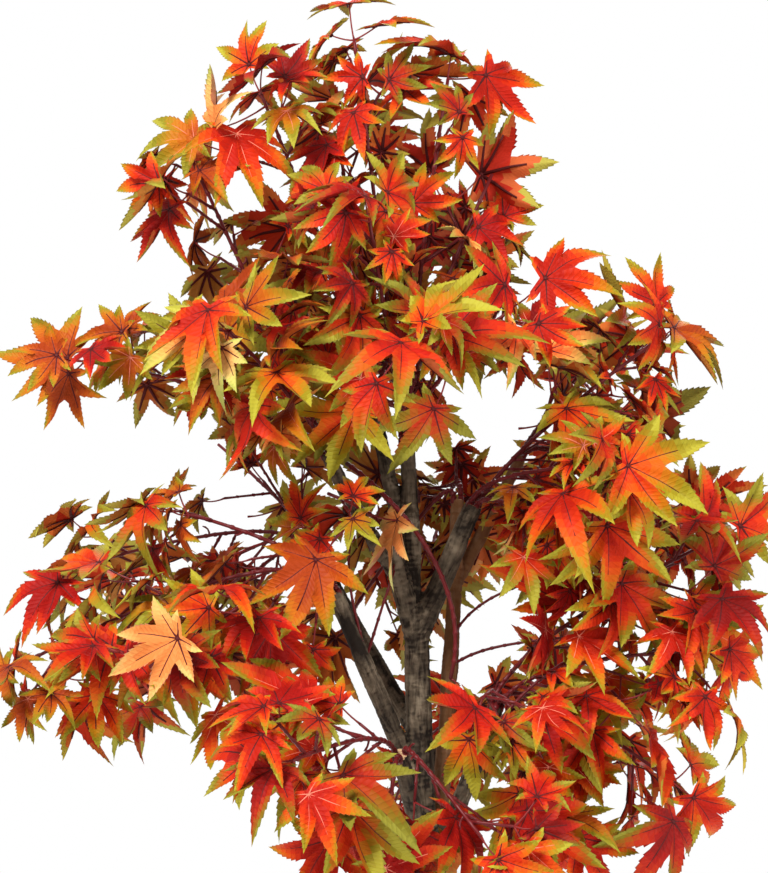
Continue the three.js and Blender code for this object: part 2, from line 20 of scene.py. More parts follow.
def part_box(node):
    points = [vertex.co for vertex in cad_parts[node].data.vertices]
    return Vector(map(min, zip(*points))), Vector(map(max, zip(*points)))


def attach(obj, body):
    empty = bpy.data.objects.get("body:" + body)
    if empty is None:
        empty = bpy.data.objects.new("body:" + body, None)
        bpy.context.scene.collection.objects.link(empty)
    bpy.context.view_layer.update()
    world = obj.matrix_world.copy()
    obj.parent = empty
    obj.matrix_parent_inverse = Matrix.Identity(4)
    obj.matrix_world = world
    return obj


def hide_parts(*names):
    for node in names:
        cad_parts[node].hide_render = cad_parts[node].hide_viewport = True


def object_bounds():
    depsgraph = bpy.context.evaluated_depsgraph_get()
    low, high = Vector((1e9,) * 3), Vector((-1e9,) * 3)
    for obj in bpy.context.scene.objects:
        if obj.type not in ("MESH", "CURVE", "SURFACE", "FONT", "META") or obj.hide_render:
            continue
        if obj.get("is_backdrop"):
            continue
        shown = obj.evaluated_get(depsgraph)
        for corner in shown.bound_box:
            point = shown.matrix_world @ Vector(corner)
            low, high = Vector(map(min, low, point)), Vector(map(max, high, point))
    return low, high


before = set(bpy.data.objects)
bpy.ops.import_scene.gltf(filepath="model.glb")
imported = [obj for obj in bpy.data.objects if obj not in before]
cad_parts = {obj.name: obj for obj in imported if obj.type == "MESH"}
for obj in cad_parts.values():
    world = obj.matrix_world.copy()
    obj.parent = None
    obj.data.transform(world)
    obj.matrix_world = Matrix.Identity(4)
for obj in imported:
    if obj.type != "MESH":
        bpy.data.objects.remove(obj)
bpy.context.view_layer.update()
MM = 0.001
BODY = "root"

# %% [markdown]
# ## Where the tree is seen from
# The tree is looked at from two metres away, level with the middle of its crown, and the view takes in
# the crown only. A long lens keeps the near leaves from growing too large.

# %% The camera
VIEW_DISTANCE = 2.0
VIEW_HEIGHT = 0.873  # metres shown from top to bottom at that distance
EYE_HEIGHT = 1.049
EYE_SIDE = -0.047
SENSOR = 36.0

camera_data = bpy.data.cameras.new("camera")
camera_data.sensor_width = SENSOR
camera_data.lens = SENSOR * VIEW_DISTANCE / VIEW_HEIGHT
camera = bpy.data.objects.new("camera", camera_data)
camera.location = (EYE_SIDE, -VIEW_DISTANCE, EYE_HEIGHT)
camera.rotation_euler = (math.radians(90), 0, 0)
bpy.context.collection.objects.link(camera)
bpy.context.scene.camera = camera
print("the camera looks from", [round(c, 3) for c in camera.location])

# %% [markdown]
# ## Light and floor
# Cloth leaves look best in a bright tent: light from all around fills the shade inside the crown, and
# a large soft lamp from the upper left gives each fold a bright and a dark side. Weaker lamps on the
# right and behind keep the far sides from going flat. The floor is a pale disc.

# %% Lamps, surroundings and floor
SKY_STRENGTH = 0.66
SKY_SHOWN = 1.0
LAMPS = {  # name: (place, size, power in watts)
    "key": ((-1.6, -2.4, 3.4), 1.3, 195),
    "fill": ((2.8, -2.0, 1.4), 1.8, 75),
    "back": ((0.6, 3.0, 2.8), 1.8, 60),
}
FLOOR_RADIUS = 2.4
FLOOR_SIDES = 96
FLOOR_COLOUR = (0.82, 0.82, 0.81, 1)
FLOOR_ROUGHNESS = 0.8

crown_middle = Vector((camera.location.x, 0, camera.location.z))
for name, (place, size, power) in LAMPS.items():
    lamp_data = bpy.data.lights.new(name, "AREA")
    lamp_data.shape = "DISK"
    lamp_data.size = size
    lamp_data.energy = power
    lamp = bpy.data.objects.new(name, lamp_data)
    lamp.location = place
    lamp.rotation_euler = (crown_middle - Vector(place)).to_track_quat("-Z", "Y").to_euler()
    bpy.context.collection.objects.link(lamp)

world = bpy.data.worlds.new("tent")
world.use_nodes = True
tent = world.node_tree
backdrop = tent.nodes["Background"]
backdrop.inputs["Color"].default_value = (1, 1, 1, 1)
seen = tent.nodes.new("ShaderNodeLightPath")
brightness = tent.nodes.new("ShaderNodeMapRange")  # the tent lights less than it shows
brightness.inputs["To Min"].default_value = SKY_STRENGTH
brightness.inputs["To Max"].default_value = SKY_SHOWN
tent.links.new(seen.outputs["Is Camera Ray"], brightness.inputs["Value"])
tent.links.new(brightness.outputs["Result"], backdrop.inputs["Strength"])
bpy.context.scene.world = world
bpy.context.scene.view_settings.view_transform = "Standard"

bpy.ops.mesh.primitive_circle_add(vertices=FLOOR_SIDES, radius=FLOOR_RADIUS, fill_type="NGON")
floor = bpy.context.object
floor.name = "floor"
floor_paint = bpy.data.materials.new("pale floor")
floor_paint.use_nodes = True
floor_finish = floor_paint.node_tree.nodes["Principled BSDF"].inputs
floor_finish["Base Color"].default_value = FLOOR_COLOUR
floor_finish["Roughness"].default_value = FLOOR_ROUGHNESS
floor.data.materials.append(floor_paint)
floor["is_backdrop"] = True
print("lamps:", ", ".join(LAMPS))

# %% [markdown]
# ## The rule the tree grows by
# The frame's leaves were placed by a seeded rule, so the same rule and seed put them in the same places
# here. First come the numbers that it works from: the limbs of wood, and the sprays that stand in
# their cut ends. Lengths are in millimetres, angles in degrees.

# %% The limbs of wood
ROOT_FLARE = 10.0
FLARE_FADE = 38.0
LIMBS = {  # name: (parent, fraction along it, azimuth, rise, length, bow, (radius at foot, at end))
    "trunk": (None, 0, 180, 89, 872, (0, 0, 0), (19, 12.5)),
    "leader_left": ("trunk", 0.97, 190, 74, 106, (0, 0, 0), (11.5, 10)),
    "bough_right": ("trunk", 0.97, 356, 67, 146, (0, 0, 0), (11.5, 10)),
    "leader_mid": ("leader_left", 0.15, 108, 84, 185, (4, 6, 0), (9.5, 8.5)),
    "leader_back": ("leader_mid", 0.3, 145, 74, 168, (-4, 6, 0), (8.5, 7.5)),
    "bough_left_high": ("leader_left", 0.6, 183, 60, 145, (-6, -4, 0), (8.5, 7.5)),
    "companion_stem": ("trunk", 0.62, 52, 83, 448, (12, 15, 0), (10, 7.5)),
    "bough_left_low": ("trunk", 0.79, 200, 66, 227, (0, 0, 0), (10, 8.5)),
    "bough_right_low": ("trunk", 0.7, 349, 67, 187, (8, 0, -6), (10, 8.5)),
    "bough_front_low": ("trunk", 0.74, 256, 46, 140, (0, 0, 0), (10, 8.5)),
    "bough_back_left": ("trunk", 0.86, 133, 48, 235, (0, 0, -10), (10, 8.5)),
    "bough_back_right": ("companion_stem", 0.8, 48, 50, 170, (0, 0, 0), (7.5, 6.5)),
    "bough_back_low": ("trunk", 0.66, 86, 48, 188, (0, 0, -8), (10, 8.5)),
}
UP = np.array([0.0, 0.0, 1.0])
STEEP = 0.9


def unit(v):
    return v / np.linalg.norm(v)


def between(ends, share):
    return ends[0] + (ends[1] - ends[0]) * share


def heading(azimuth, rise):
    """The unit vector at an azimuth from +X towards +Y and a rise above level, in degrees."""
    level = math.cos(math.radians(rise))
    turn = math.radians(azimuth)
    return np.array([level * math.cos(turn), level * math.sin(turn), math.sin(math.radians(rise))])


def square_to(axis, turn):
    """A unit vector square to the axis, turned about it by an angle in degrees."""
    reference = UP if abs(axis[2]) < STEEP else np.array([1.0, 0.0, 0.0])
    side = unit(np.cross(axis, reference))
    return side * math.cos(math.radians(turn)) + np.cross(axis, side) * math.sin(math.radians(turn))


class Bend:
    """A curve through a first and a last point, drawn towards a middle one."""

    def __init__(self, first, middle, last):
        self.first, self.middle, self.last = first, middle, last

    def at(self, share):
        rest = 1 - share
        return rest * rest * self.first + 2 * rest * share * self.middle + share * share * self.last

    def points(self, count):
        return np.array([self.at(share) for share in np.linspace(0, 1, count)])

    def along(self, share):
        return unit((1 - share) * (self.middle - self.first) + share * (self.last - self.middle))


def limb_curve(parent, fraction, azimuth, rise, length, bow, _radii):
    start = curves[parent].at(fraction) if parent else np.zeros(3)
    end = start + length * heading(azimuth, rise)
    middle = (start + end) / 2 + np.array(bow)
    if parent is None:
        middle[:2] = start[:2]  # the trunk leaves the ground upright
    return Bend(start, middle, end)


def limb_radius(name, share):
    parent, _, _, _, length, _, radii = LIMBS[name]
    flare = 0 if parent else ROOT_FLARE * math.exp(-share * length / FLARE_FADE)
    return between(radii, share) + flare


def nearest_on(curve, place, count):
    """The one of so many places on a curve that lies nearest to a given place."""
    samples = curve.points(count)
    return samples[np.linalg.norm(samples - place, axis=1).argmin()]


curves = {}
for name, row in LIMBS.items():
    curves[name] = limb_curve(*row)
print(len(curves), "limbs, the trunk", round(curves["trunk"].last[2]), "mm to its fork")

# %% The sprays that stand in the cut ends
CROWN_SEED = 11  # the frame's own
SPRAY_COLUMNS = ("name", "limb", "azimuth", "rise", "reach", "sprigs", "tint")
SPRAYS = [dict(zip(SPRAY_COLUMNS, row)) for row in (
    ("top", "leader_mid", 195, 83, 405, 4, "flame"),
    ("top_right", "leader_mid", 345, 84, 365, 1, "scarlet"),
    ("top_left", "leader_back", 190, 70, 335, 3, "flame"),
    ("top_back", "leader_back", 120, 75, 300, 1, "flame"),
    ("upper_left", "bough_left_high", 182, 65, 340, 4, "rust"),
    ("left_mid", "bough_left_high", 185, 22, 245, 3, "rust"),
    ("left_front", "bough_left_high", 232, 38, 185, 2, "rust"),
    ("crown_front", "leader_mid", 268, 24, 200, 2, "scarlet"),
    ("crown_high", "leader_mid", 255, 60, 240, 3, "scarlet"),
    ("crown_right", "leader_mid", 335, 50, 170, 2, "flame"),
    ("upper_right", "leader_mid", 8, 72, 285, 3, "scarlet"),
    ("crown_back_left", "leader_back", 130, 30, 220, 1, "rust"),
    ("crown_back_right", "leader_back", 60, 40, 235, 1, "flame"),
    ("left_inner", "leader_left", 235, 25, 110, 1, "rust"),
    ("left_low_high", "bough_left_low", 175, 26, 175, 2, "rust"),
    ("left_low_long", "bough_left_low", 176, -13, 310, 4, "rust"),
    ("left_low_front", "bough_left_low", 205, -20, 215, 3, "scarlet"),
    ("left_low_drop", "bough_left_low", 215, -45, 150, 1, "flame"),
    ("front_left", "bough_front_low", 243, 6, 200, 2, "scarlet"),
    ("front_down", "bough_front_low", 262, -40, 125, 1, "flame"),
    ("front_right", "bough_front_low", 302, -25, 140, 2, "scarlet"),
    ("right_high", "bough_right", 0, 43, 245, 4, "flame"),
    ("right_high_front", "bough_right", 322, 14, 160, 2, "flame"),
    ("right_inner", "bough_right", 28, 2, 115, 1, "flame"),
    ("right_mid", "bough_right", 335, -22, 125, 1, "scarlet"),
    ("right_mid_long", "bough_right_low", 0, 37, 260, 3, "scarlet"),
    ("right_low", "bough_right_low", 345, 17, 210, 3, "flame"),
    ("right_low_drop", "bough_right_low", 352, -23, 185, 2, "flame"),
    ("right_foot", "bough_right_low", 325, -50, 125, 1, "flame"),
    ("trunk_right", "bough_right_low", 262, 10, 100, 1, "scarlet"),
    ("trunk_back", "companion_stem", 150, -45, 170, 1, "rust"),
    ("back_left_high", "bough_back_left", 131, 32, 215, 2, "rust"),
    ("back_left", "bough_back_left", 159, -3, 255, 2, "rust"),
    ("back_left_low", "bough_back_left", 143, -35, 270, 1, "scarlet"),
    ("back_right_high", "bough_back_right", 52, 37, 165, 2, "flame"),
    ("back_right", "bough_back_right", 17, -20, 200, 2, "scarlet"),
    ("back_right_low", "bough_back_low", 30, 5, 220, 2, "flame"),
    ("back_low", "bough_back_low", 100, -25, 190, 2, "scarlet"),
    ("back_mid", "companion_stem", 97, -18, 240, 2, "rust"),
)]
SEAT_GAP = 0.3
STEM_RADII = (2.4, 1.7)
STEM_STEPS = 4
STEM_RING = 5.6  # distance of the stems from the middle of a limb's cut end
STEM_MARGIN = 3
STEM_STRAIGHT = 0.24  # share of the reach over which a stem still follows its limb


def seat_stems(limb):
    """The stems on one cut end stand in a ring, each on the side that it bends towards."""
    own = sorted((s for s in SPRAYS if s["limb"] == limb), key=lambda s: s["azimuth"])
    axis = curves[limb].along(1)
    end = curves[limb].at(1) + SEAT_GAP * axis
    leads = [math.radians(s["azimuth"] - 360 * i / len(own)) for i, s in enumerate(own)]
    first = math.degrees(math.atan2(sum(map(math.sin, leads)), sum(map(math.cos, leads))))
    ring = min(STEM_RING, limb_radius(limb, 1) - STEM_MARGIN) if len(own) > 1 else 0
    for i, spray in enumerate(own):
        side = heading(first + 360 * i / len(own), 0)
        seat = end + ring * unit(side - axis * side.dot(axis))
        bend = seat + axis * spray["reach"] * STEM_STRAIGHT
        tip = seat + heading(spray["azimuth"], spray["rise"]) * spray["reach"]
        spray["curve"] = Bend(seat, bend, tip)


for limb in LIMBS:
    if any(s["limb"] == limb for s in SPRAYS):
        seat_stems(limb)
print(len(SPRAYS), "sprays")

# %% [markdown]
# ## Keeping leaves and twigs apart
# A leaf is only placed where it touches nothing. Each leaf stands as a star of flat faces, each twig
# as a straight rod, and two tests are enough: does a rod pass through a face, and how near do two
# rods come? NumPy compares a new leaf with all its neighbours at once.

# %% Rods, faces and the room between them
LEAF_GAP = 1.9
TWIG_GAP = 1.0
FACE_SAMPLES = 5
FACE_RIM = 0.02
TINY = 1e-9
LOBE_LENGTH = 68.0
LEAF_CORNERS = [
    (0, 1), (19, 0.48), (38, 0.88), (58, 0.42), (80, 0.66), (180, 0.2),
    (-80, 0.66), (-58, 0.42), (-38, 0.88), (-19, 0.48),
]
corner_angles = np.radians([angle for angle, _ in LEAF_CORNERS])
corner_shares = np.array([share for _, share in LEAF_CORNERS], float)


def dots(p, q):
    return np.einsum("...i,...i->...", p, q)


def make_blade(joint, rib, up, size, curl):
    """A leaf as the frame has it: its corners, the faces between them and the edges round them."""
    across = np.cross(up, rib)
    reach = (size * corner_shares)[:, None]
    corners = joint + rib * reach * np.cos(corner_angles)[:, None]
    corners += across * reach * np.sin(corner_angles)[:, None] - up * curl * reach * corner_shares[:, None]
    following = np.roll(corners, -1, axis=0)
    u = corners - joint
    v = following - joint
    normal = np.cross(u, v)
    area = np.linalg.norm(normal, axis=1)
    spokes = np.stack([np.broadcast_to(joint, corners.shape), corners], 1)
    return {
        "joint": joint, "rib": rib, "up": up, "across": across, "size": size, "curl": curl,
        "corners": corners, "u": u, "v": v, "normal": normal / area[:, None], "square": area ** 2,
        "edges": np.concatenate([spokes, np.stack([corners, following], 1)]),
    }


def gather(blades):
    """The faces of several blades in one set of arrays."""
    faces = {key: np.concatenate([b[key] for b in blades]) for key in ("u", "v", "normal", "square")}
    faces["at"] = np.concatenate([np.broadcast_to(b["joint"], (len(b["u"]), 3)) for b in blades])
    return faces


def rods_meet_faces(starts, ends, radius, f):
    """Whether any of the rods passes within its radius of any of the faces."""
    level = dots(f["normal"], f["at"])
    first = starts @ f["normal"].T - level
    last = ends @ f["normal"].T - level
    radius = np.broadcast_to(np.reshape(radius, (-1, 1)), first.shape)
    alive = ~(((first > radius) & (last > radius)) | ((first < -radius) & (last < -radius)))
    if not alive.any():
        return False
    slope = last - first
    tilted = np.abs(slope) > TINY
    safe = np.where(tilted, slope, 1)
    enter = (-radius - first) / safe
    leave = (radius - first) / safe
    low = np.where(tilted, np.maximum(0, np.minimum(enter, leave)), 0)
    high = np.where(tilted, np.minimum(1, np.maximum(enter, leave)), 1)
    r, c = np.nonzero(alive)
    low, high = low[r, c], high[r, c]
    u, v, square = f["u"][c], f["v"][c], f["square"][c]
    uu, uv, vv = dots(u, u), dots(u, v), dots(v, v)
    offset = starts[r] - f["at"][c]
    span = ends[r] - starts[r]
    for i in range(FACE_SAMPLES):
        point = offset + span * (low + (high - low) * i / (FACE_SAMPLES - 1))[:, None]
        pu, pv = dots(point, u), dots(point, v)
        s = (vv * pu - uv * pv) / square
        t = (uu * pv - uv * pu) / square
        if np.any((s > -FACE_RIM) & (t > -FACE_RIM) & (s + t < 1 + FACE_RIM)):
            return True
    return False


def rod_distances(a, b, c, d):
    """The distance from each rod a-b to each rod c-d."""
    u = (b - a)[:, None]
    v = (d - c)[None]
    w = a[:, None] - c[None]
    uu, uv, vv, uw, vw = dots(u, u), dots(u, v), dots(v, v), dots(u, w), dots(v, w)
    square = uu * vv - uv * uv
    s = np.where(square > TINY, np.clip((uv * vw - vv * uw) / np.maximum(square, TINY), 0, 1), 0)
    t = np.clip((uv * s + vw) / vv, 0, 1)
    s = np.clip((uv * t - uw) / uu, 0, 1)
    return np.linalg.norm(w + u * s[..., None] - v * t[..., None], axis=2)


print("a leaf is tested by", len(corner_shares), "faces and", 2 * len(corner_shares), "edges")

# %% [markdown]
# ## Growing the sprays
# `Room` remembers every rod and leaf that has its place. Sprigs leave their stem at a wide angle, each
# turned by the golden angle from the last, and carry up to three leaves: one straight on and one to
# either side. A leaf turns its face outwards and up, with some chance in it. Where no free place is
# found in a few draws, the leaf is left out.

# %% The room that is taken
LIMB_RODS = 12
LOWEST_LEAF = 500.0
HIGHEST_LEAF = 1505.0
MOST_RODS = 3000
MOST_LEAVES = 1200


class Room:
    def __init__(self):
        self.starts = np.zeros((MOST_RODS, 3))
        self.ends = np.zeros((MOST_RODS, 3))
        self.radii = np.zeros(MOST_RODS)
        self.owners = []
        self.centres = np.zeros((MOST_LEAVES, 3))
        self.sizes = np.zeros(MOST_LEAVES)
        self.blades = []

    def add_rod(self, start, end, radius, owner):
        i = len(self.owners)
        self.starts[i], self.ends[i], self.radii[i] = start, end, radius
        self.owners.append(owner)

    def add_curve(self, curve, steps, radius_at, owner):
        for i in range(steps):
            self.add_rod(curve.at(i / steps), curve.at((i + 1) / steps), radius_at(i / steps), owner)

    def add_blade(self, blade):
        i = len(self.blades)
        self.centres[i], self.sizes[i] = blade["joint"], blade["size"]
        self.blades.append(blade)

    def blades_near(self, point, reach):
        count = len(self.blades)
        distance = np.linalg.norm(self.centres[:count] - point, axis=1)
        return [self.blades[i] for i in np.nonzero(distance <= self.sizes[:count] + reach)[0]]

    def blade_fits(self, blade, gap=LEAF_GAP):
        heights = blade["corners"][:, 2]
        if heights.min() < LOWEST_LEAF or heights.max() > HIGHEST_LEAF:
            return False
        near = self.blades_near(blade["joint"], blade["size"] + gap)
        own = gather([blade])
        if near:
            theirs = gather(near)
            edges = np.concatenate([b["edges"] for b in near])
            if rods_meet_faces(blade["edges"][:, 0], blade["edges"][:, 1], gap, theirs):
                return False
            if rods_meet_faces(edges[:, 0], edges[:, 1], gap, own):
                return False
        count = len(self.owners)
        starts, ends = self.starts[:count], self.ends[:count]
        reach = self.radii[:count] + TWIG_GAP
        span = np.linalg.norm(ends - starts, axis=1) / 2
        near = np.linalg.norm((starts + ends) / 2 - blade["joint"], axis=1) <= blade["size"] + span + reach
        starts, ends, reach = starts[near], ends[near], reach[near]
        if not len(starts):
            return True
        if rods_meet_faces(starts, ends, reach, own):
            return False
        apart = rod_distances(blade["edges"][:, 0], blade["edges"][:, 1], starts, ends)
        return not np.any(apart < reach)

    def twig_fits(self, start, end, radius, owner):
        reach = radius + TWIG_GAP
        length = np.linalg.norm(end - start)
        near = self.blades_near((start + end) / 2, length / 2 + reach)
        if near:
            if rods_meet_faces(start[None], end[None], reach, gather(near)):
                return False
            edges = np.concatenate([b["edges"] for b in near])
            if np.any(rod_distances(edges[:, 0], edges[:, 1], start[None], end[None]) < reach):
                return False
        count = len(self.owners)
        others = np.array([other != owner for other in self.owners])
        apart = rod_distances(self.starts[:count], self.ends[:count], start[None], end[None])[:, 0]
        return not np.any(others & (apart < self.radii[:count] + reach))


room = Room()
for name in LIMBS:
    room.add_curve(curves[name], LIMB_RODS, lambda share: limb_radius(name, share), name)
for spray in SPRAYS:
    room.add_curve(spray["curve"], STEM_STEPS, lambda share: between(STEM_RADII, share), spray["name"])
print(len(room.owners), "rods stand for the wood and the stems")

# %% Chance that can be repeated
WORD = 0xFFFFFFFF
FIRST_SEED = 17
SEED_FACTOR = 486187739
STREAM_STEP = 0x6D2B79F5


def seed_of(*numbers):
    """One seed from several whole numbers."""
    seed = FIRST_SEED
    for n in numbers:
        seed = (seed * SEED_FACTOR + n) & WORD
    return seed


for i, spray in enumerate(SPRAYS):
    spray["seed"] = seed_of(CROWN_SEED, i)


def stream(seed):
    """A repeatable stream of numbers from 0 to 1."""
    state = seed & WORD

    def draw():
        nonlocal state
        state = (state + STREAM_STEP) & WORD
        t = ((state ^ state >> 15) * (state | 1)) & WORD
        t ^= (t + (t ^ t >> 7) * (t | 61)) & WORD
        return (t ^ t >> 14) / (WORD + 1)

    return draw


def any_direction(draw):
    z = 2 * draw() - 1
    turn = 2 * math.pi * draw()
    level = math.sqrt(1 - z * z)
    return np.array([level * math.cos(turn), level * math.sin(turn), z])


print("the first draw of seed 1 is", round(stream(1)(), 6))

# %% Leaves, sprigs and sprays
SPRIG_SPAN = (0.3, 0.92)  # the shares of a stem between which its sprigs stand
SPRIG_LENGTH = (34, 66)
SPRIG_SPREAD = (44, 60)
SPRIG_RADII = (0.8, 1.4)
GOLDEN_TURN = 137.5
TURN_PLAY = 60
RETRY_TURN = 50
STALK_RADII = (0.5, 1.1)
STALK_LENGTH = (20, 48)
STALK_SPREAD = 62
STALK_LEAN = 0.3
TIP_SUNK = 3
LEAF_SIZES = (0.85, 1.3)
LEAF_CURL = (0.06, 0.3)
TURN_OUT = 0.8
TURN_UP = 0.65
TURN_RANDOM = 0.8
FRONT_PULL = 1.3
BACK_BEGINS = 40
STALK_RISE = 0.35
RIB_DROOP = 0.45
RIB_RANDOM = 0.5
TRIES = 7


def grow_leaf(owner, root, node, direction, radii, draw, finer, gap, within):
    stalk = between(STALK_LENGTH, draw()) * finer
    size = LOBE_LENGTH * between(LEAF_SIZES, draw()) * finer
    curl = between(LEAF_CURL, draw())
    lean, turn, rib_turn = any_direction(draw), any_direction(draw), any_direction(draw)
    along = unit(direction + STALK_LEAN * lean) if root is node else direction
    joint = node + along * stalk
    outward = unit(np.array([joint[0], joint[1], 0.0]))
    outward[1] += -FRONT_PULL if joint[1] < BACK_BEGINS else FRONT_PULL
    up = unit(unit(outward) * TURN_OUT + UP * TURN_UP + turn * TURN_RANDOM)
    if up.dot(along) < STALK_RISE:
        up = unit(up - up.dot(along) * along) * math.sqrt(1 - STALK_RISE ** 2) + STALK_RISE * along
    rib = along - RIB_DROOP * UP + RIB_RANDOM * rib_turn
    rib = unit(rib - up * rib.dot(up))
    if rib.dot(along) < 0:
        return None
    blade = make_blade(joint, rib, up, size, curl)
    if within and (hides_the_fork(blade) or closes_an_opening(blade) or not keeps_its_space(within, blade)):
        return None
    if not room.blade_fits(blade, gap) or not room.twig_fits(root, joint, radii[1], owner):
        return None
    return {"blade": blade, "root": root, "node": node, "end": root is not node}


def grow_cluster(owner, root, node, direction, roll, seed, finer=1.0, gap=LEAF_GAP, within=None):
    """Three leaves on one node: one straight on, and a pair to either side."""
    leaves = []
    side = square_to(direction, roll)
    spread = math.radians(STALK_SPREAD)
    for sway in (0, 1, -1):
        ahead = direction * math.cos(spread) + side * sway * math.sin(spread) if sway else direction
        radii = STALK_RADII if sway else SPRIG_RADII
        for attempt in range(TRIES):
            draw = stream(seed_of(seed, sway, attempt))
            leaf = grow_leaf(owner, node if sway else root, node, ahead, radii, draw, finer, gap, within)
            if leaf is None:
                continue
            leaves.append(leaf)
            room.add_blade(leaf["blade"])
            room.add_rod(leaf["root"], leaf["blade"]["joint"], radii[1], owner)
            break
        if not leaves:
            break
    return leaves


def on_stretch(curve, steps, share):
    """The place at a share of a curve that is drawn as so many straight lengths."""
    stretch = min(int(share * steps), steps - 1)
    start, end = curve.at(stretch / steps), curve.at((stretch + 1) / steps)
    return start + (end - start) * (share * steps - stretch)


def grow_sprig(spray, share, turn, seed, finer=1.0, gap=LEAF_GAP, within=None):
    draw = stream(seed)
    root = on_stretch(spray["curve"], STEM_STEPS, share)
    tangent = spray["curve"].along(share)
    around = turn + TURN_PLAY * (draw() - 0.5)
    length = between(SPRIG_LENGTH, draw()) * finer
    spread = math.radians(between(SPRIG_SPREAD, draw()))
    direction = square_to(tangent, around) * math.sin(spread) + tangent * math.cos(spread)
    node = root + direction * length
    return grow_cluster(spray["name"], root, node, direction, 360 * draw(), seed, finer, gap, within)


def grow_sprigs(spray, shares, start, place=(), *finer):
    """A sprig at each share of the stem, tried at a few turns until one finds room."""
    grown = []
    for i, share in enumerate(shares):
        for attempt in range(TRIES):
            turn = start + i * GOLDEN_TURN + attempt * RETRY_TURN
            leaves = grow_sprig(spray, share, turn, seed_of(spray["seed"], *place, i, attempt), *finer)
            if leaves:
                break
        grown += leaves
    return grown


def grow_spray(spray):
    start = 360 * stream(spray["seed"])()
    count = spray["sprigs"]
    leaves = grow_sprigs(spray, [between(SPRIG_SPAN, (i + 0.5) / count) for i in range(count)], start)
    tip, ahead = spray["curve"].at(1), spray["curve"].along(1)
    seed = seed_of(spray["seed"], count)
    return leaves + grow_cluster(spray["name"], tip - TIP_SUNK * ahead, tip, ahead, start, seed)


for spray in SPRAYS:
    spray["leaves"] = grow_spray(spray)
print(len(room.blades), "leaves grown by the frame's own rule")

# %% [markdown]
# ## Finer twigs
# The frame keeps its leaves few and large. The real tree has more and smaller ones, so the rule runs
# on: each stem gets finer sprigs between its first ones. They stay inside the space that the frame
# gives their spray. They also keep out of the openings between the layers of the crown, and the
# front of the trunk and its fork stays bare.

# %% Sprigs between the sprigs
FINER_ROUNDS = ((0.8, 1), (0.6, 1))  # size of the twigs, and how many more than the spray has sprigs
FINER_GAP = 1.2
FINER_SPAN = (0.16, 0.98)
GOLDEN_SHARE = 0.618
ROUND_SHARE = 0.31  # how far the sprigs of each round are shifted along the stem
BARE_HEIGHTS = (700, 945)
BARE_WIDTH = 62
BOX_PLAY = 2.0  # how far past its frame box a finer leaf may reach
OPENINGS = (  # seen from the front: from x, to x, from height, to height, and how far back it goes
    (-431, -201, 1010, 1070, 500),
    (-236, -136, 925, 1020, 500),
    (-431, -196, 600, 712, 500),
    (-10, 130, 1030, 1115, 500),
    (-56, -26, 800, 905, 500),
    (25, 95, 795, 895, 500),
    (130, 420, 1240, 1500, 500),
    (-70, 75, 855, 1015, -5),  # in front of the fork only
)
eye = np.array([EYE_SIDE, EYE_HEIGHT]) / MM
trunk_top = curves["trunk"].last
for spray in SPRAYS:
    spray["box"] = [np.array(corner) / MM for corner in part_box("foliage_" + spray["name"])]


def hides_the_fork(blade):
    low, high = BARE_HEIGHTS
    corners = blade["corners"]
    inside = (corners[:, 2] > low) & (corners[:, 2] < high) & (corners[:, 1] < 0)
    return bool(np.any(inside & (np.abs(corners[:, 0] - trunk_top[0]) < BARE_WIDTH)))


def closes_an_opening(blade):
    middle = blade["corners"].mean(axis=0)
    nearness = VIEW_DISTANCE / (VIEW_DISTANCE + middle[1] * MM)
    x, z = eye + (middle[[0, 2]] - eye) * nearness
    y = middle[1]
    return any(left < x < right and low < z < high and y < back for left, right, low, high, back in OPENINGS)


def keeps_its_space(spray, blade):
    low, high = spray["box"]
    return bool(np.all(blade["corners"] > low - BOX_PLAY) and np.all(blade["corners"] < high + BOX_PLAY))


def grow_finer(spray, step, finer, more):
    start = 360 * stream(seed_of(spray["seed"], step))()
    turns = range(1, spray["sprigs"] + more + 1)
    shares = [between(FINER_SPAN, (GOLDEN_SHARE * i + ROUND_SHARE * step) % 1) for i in turns]
    return grow_sprigs(spray, shares, start, [step], finer, FINER_GAP, spray)


for step, (finer, more) in enumerate(FINER_ROUNDS, start=1):
    for spray in SPRAYS:
        spray["leaves"] += grow_finer(spray, step, finer, more)
print(len(room.blades), "leaves with the finer twigs")

# %% The openings in the first growth
# The frame's leaves are coarse, and some of them stand in an opening. They are left out.
for spray in SPRAYS:
    spray["leaves"] = [leaf for leaf in spray["leaves"] if not closes_an_opening(leaf["blade"])]
print(sum(len(spray["leaves"]) for spray in SPRAYS), "leaves are left")

# %% The growth against the frame
# Every leaf has to lie where the frame keeps room for its spray.
widest = 0
for spray in SPRAYS:
    low, high = spray["box"]
    corners = np.concatenate([leaf["blade"]["corners"] for leaf in spray["leaves"]])
    widest = max(widest, (low - corners).max(), (corners - high).max())
print("the leaves leave their frame boxes by at most", round(float(widest), 2), "mm")
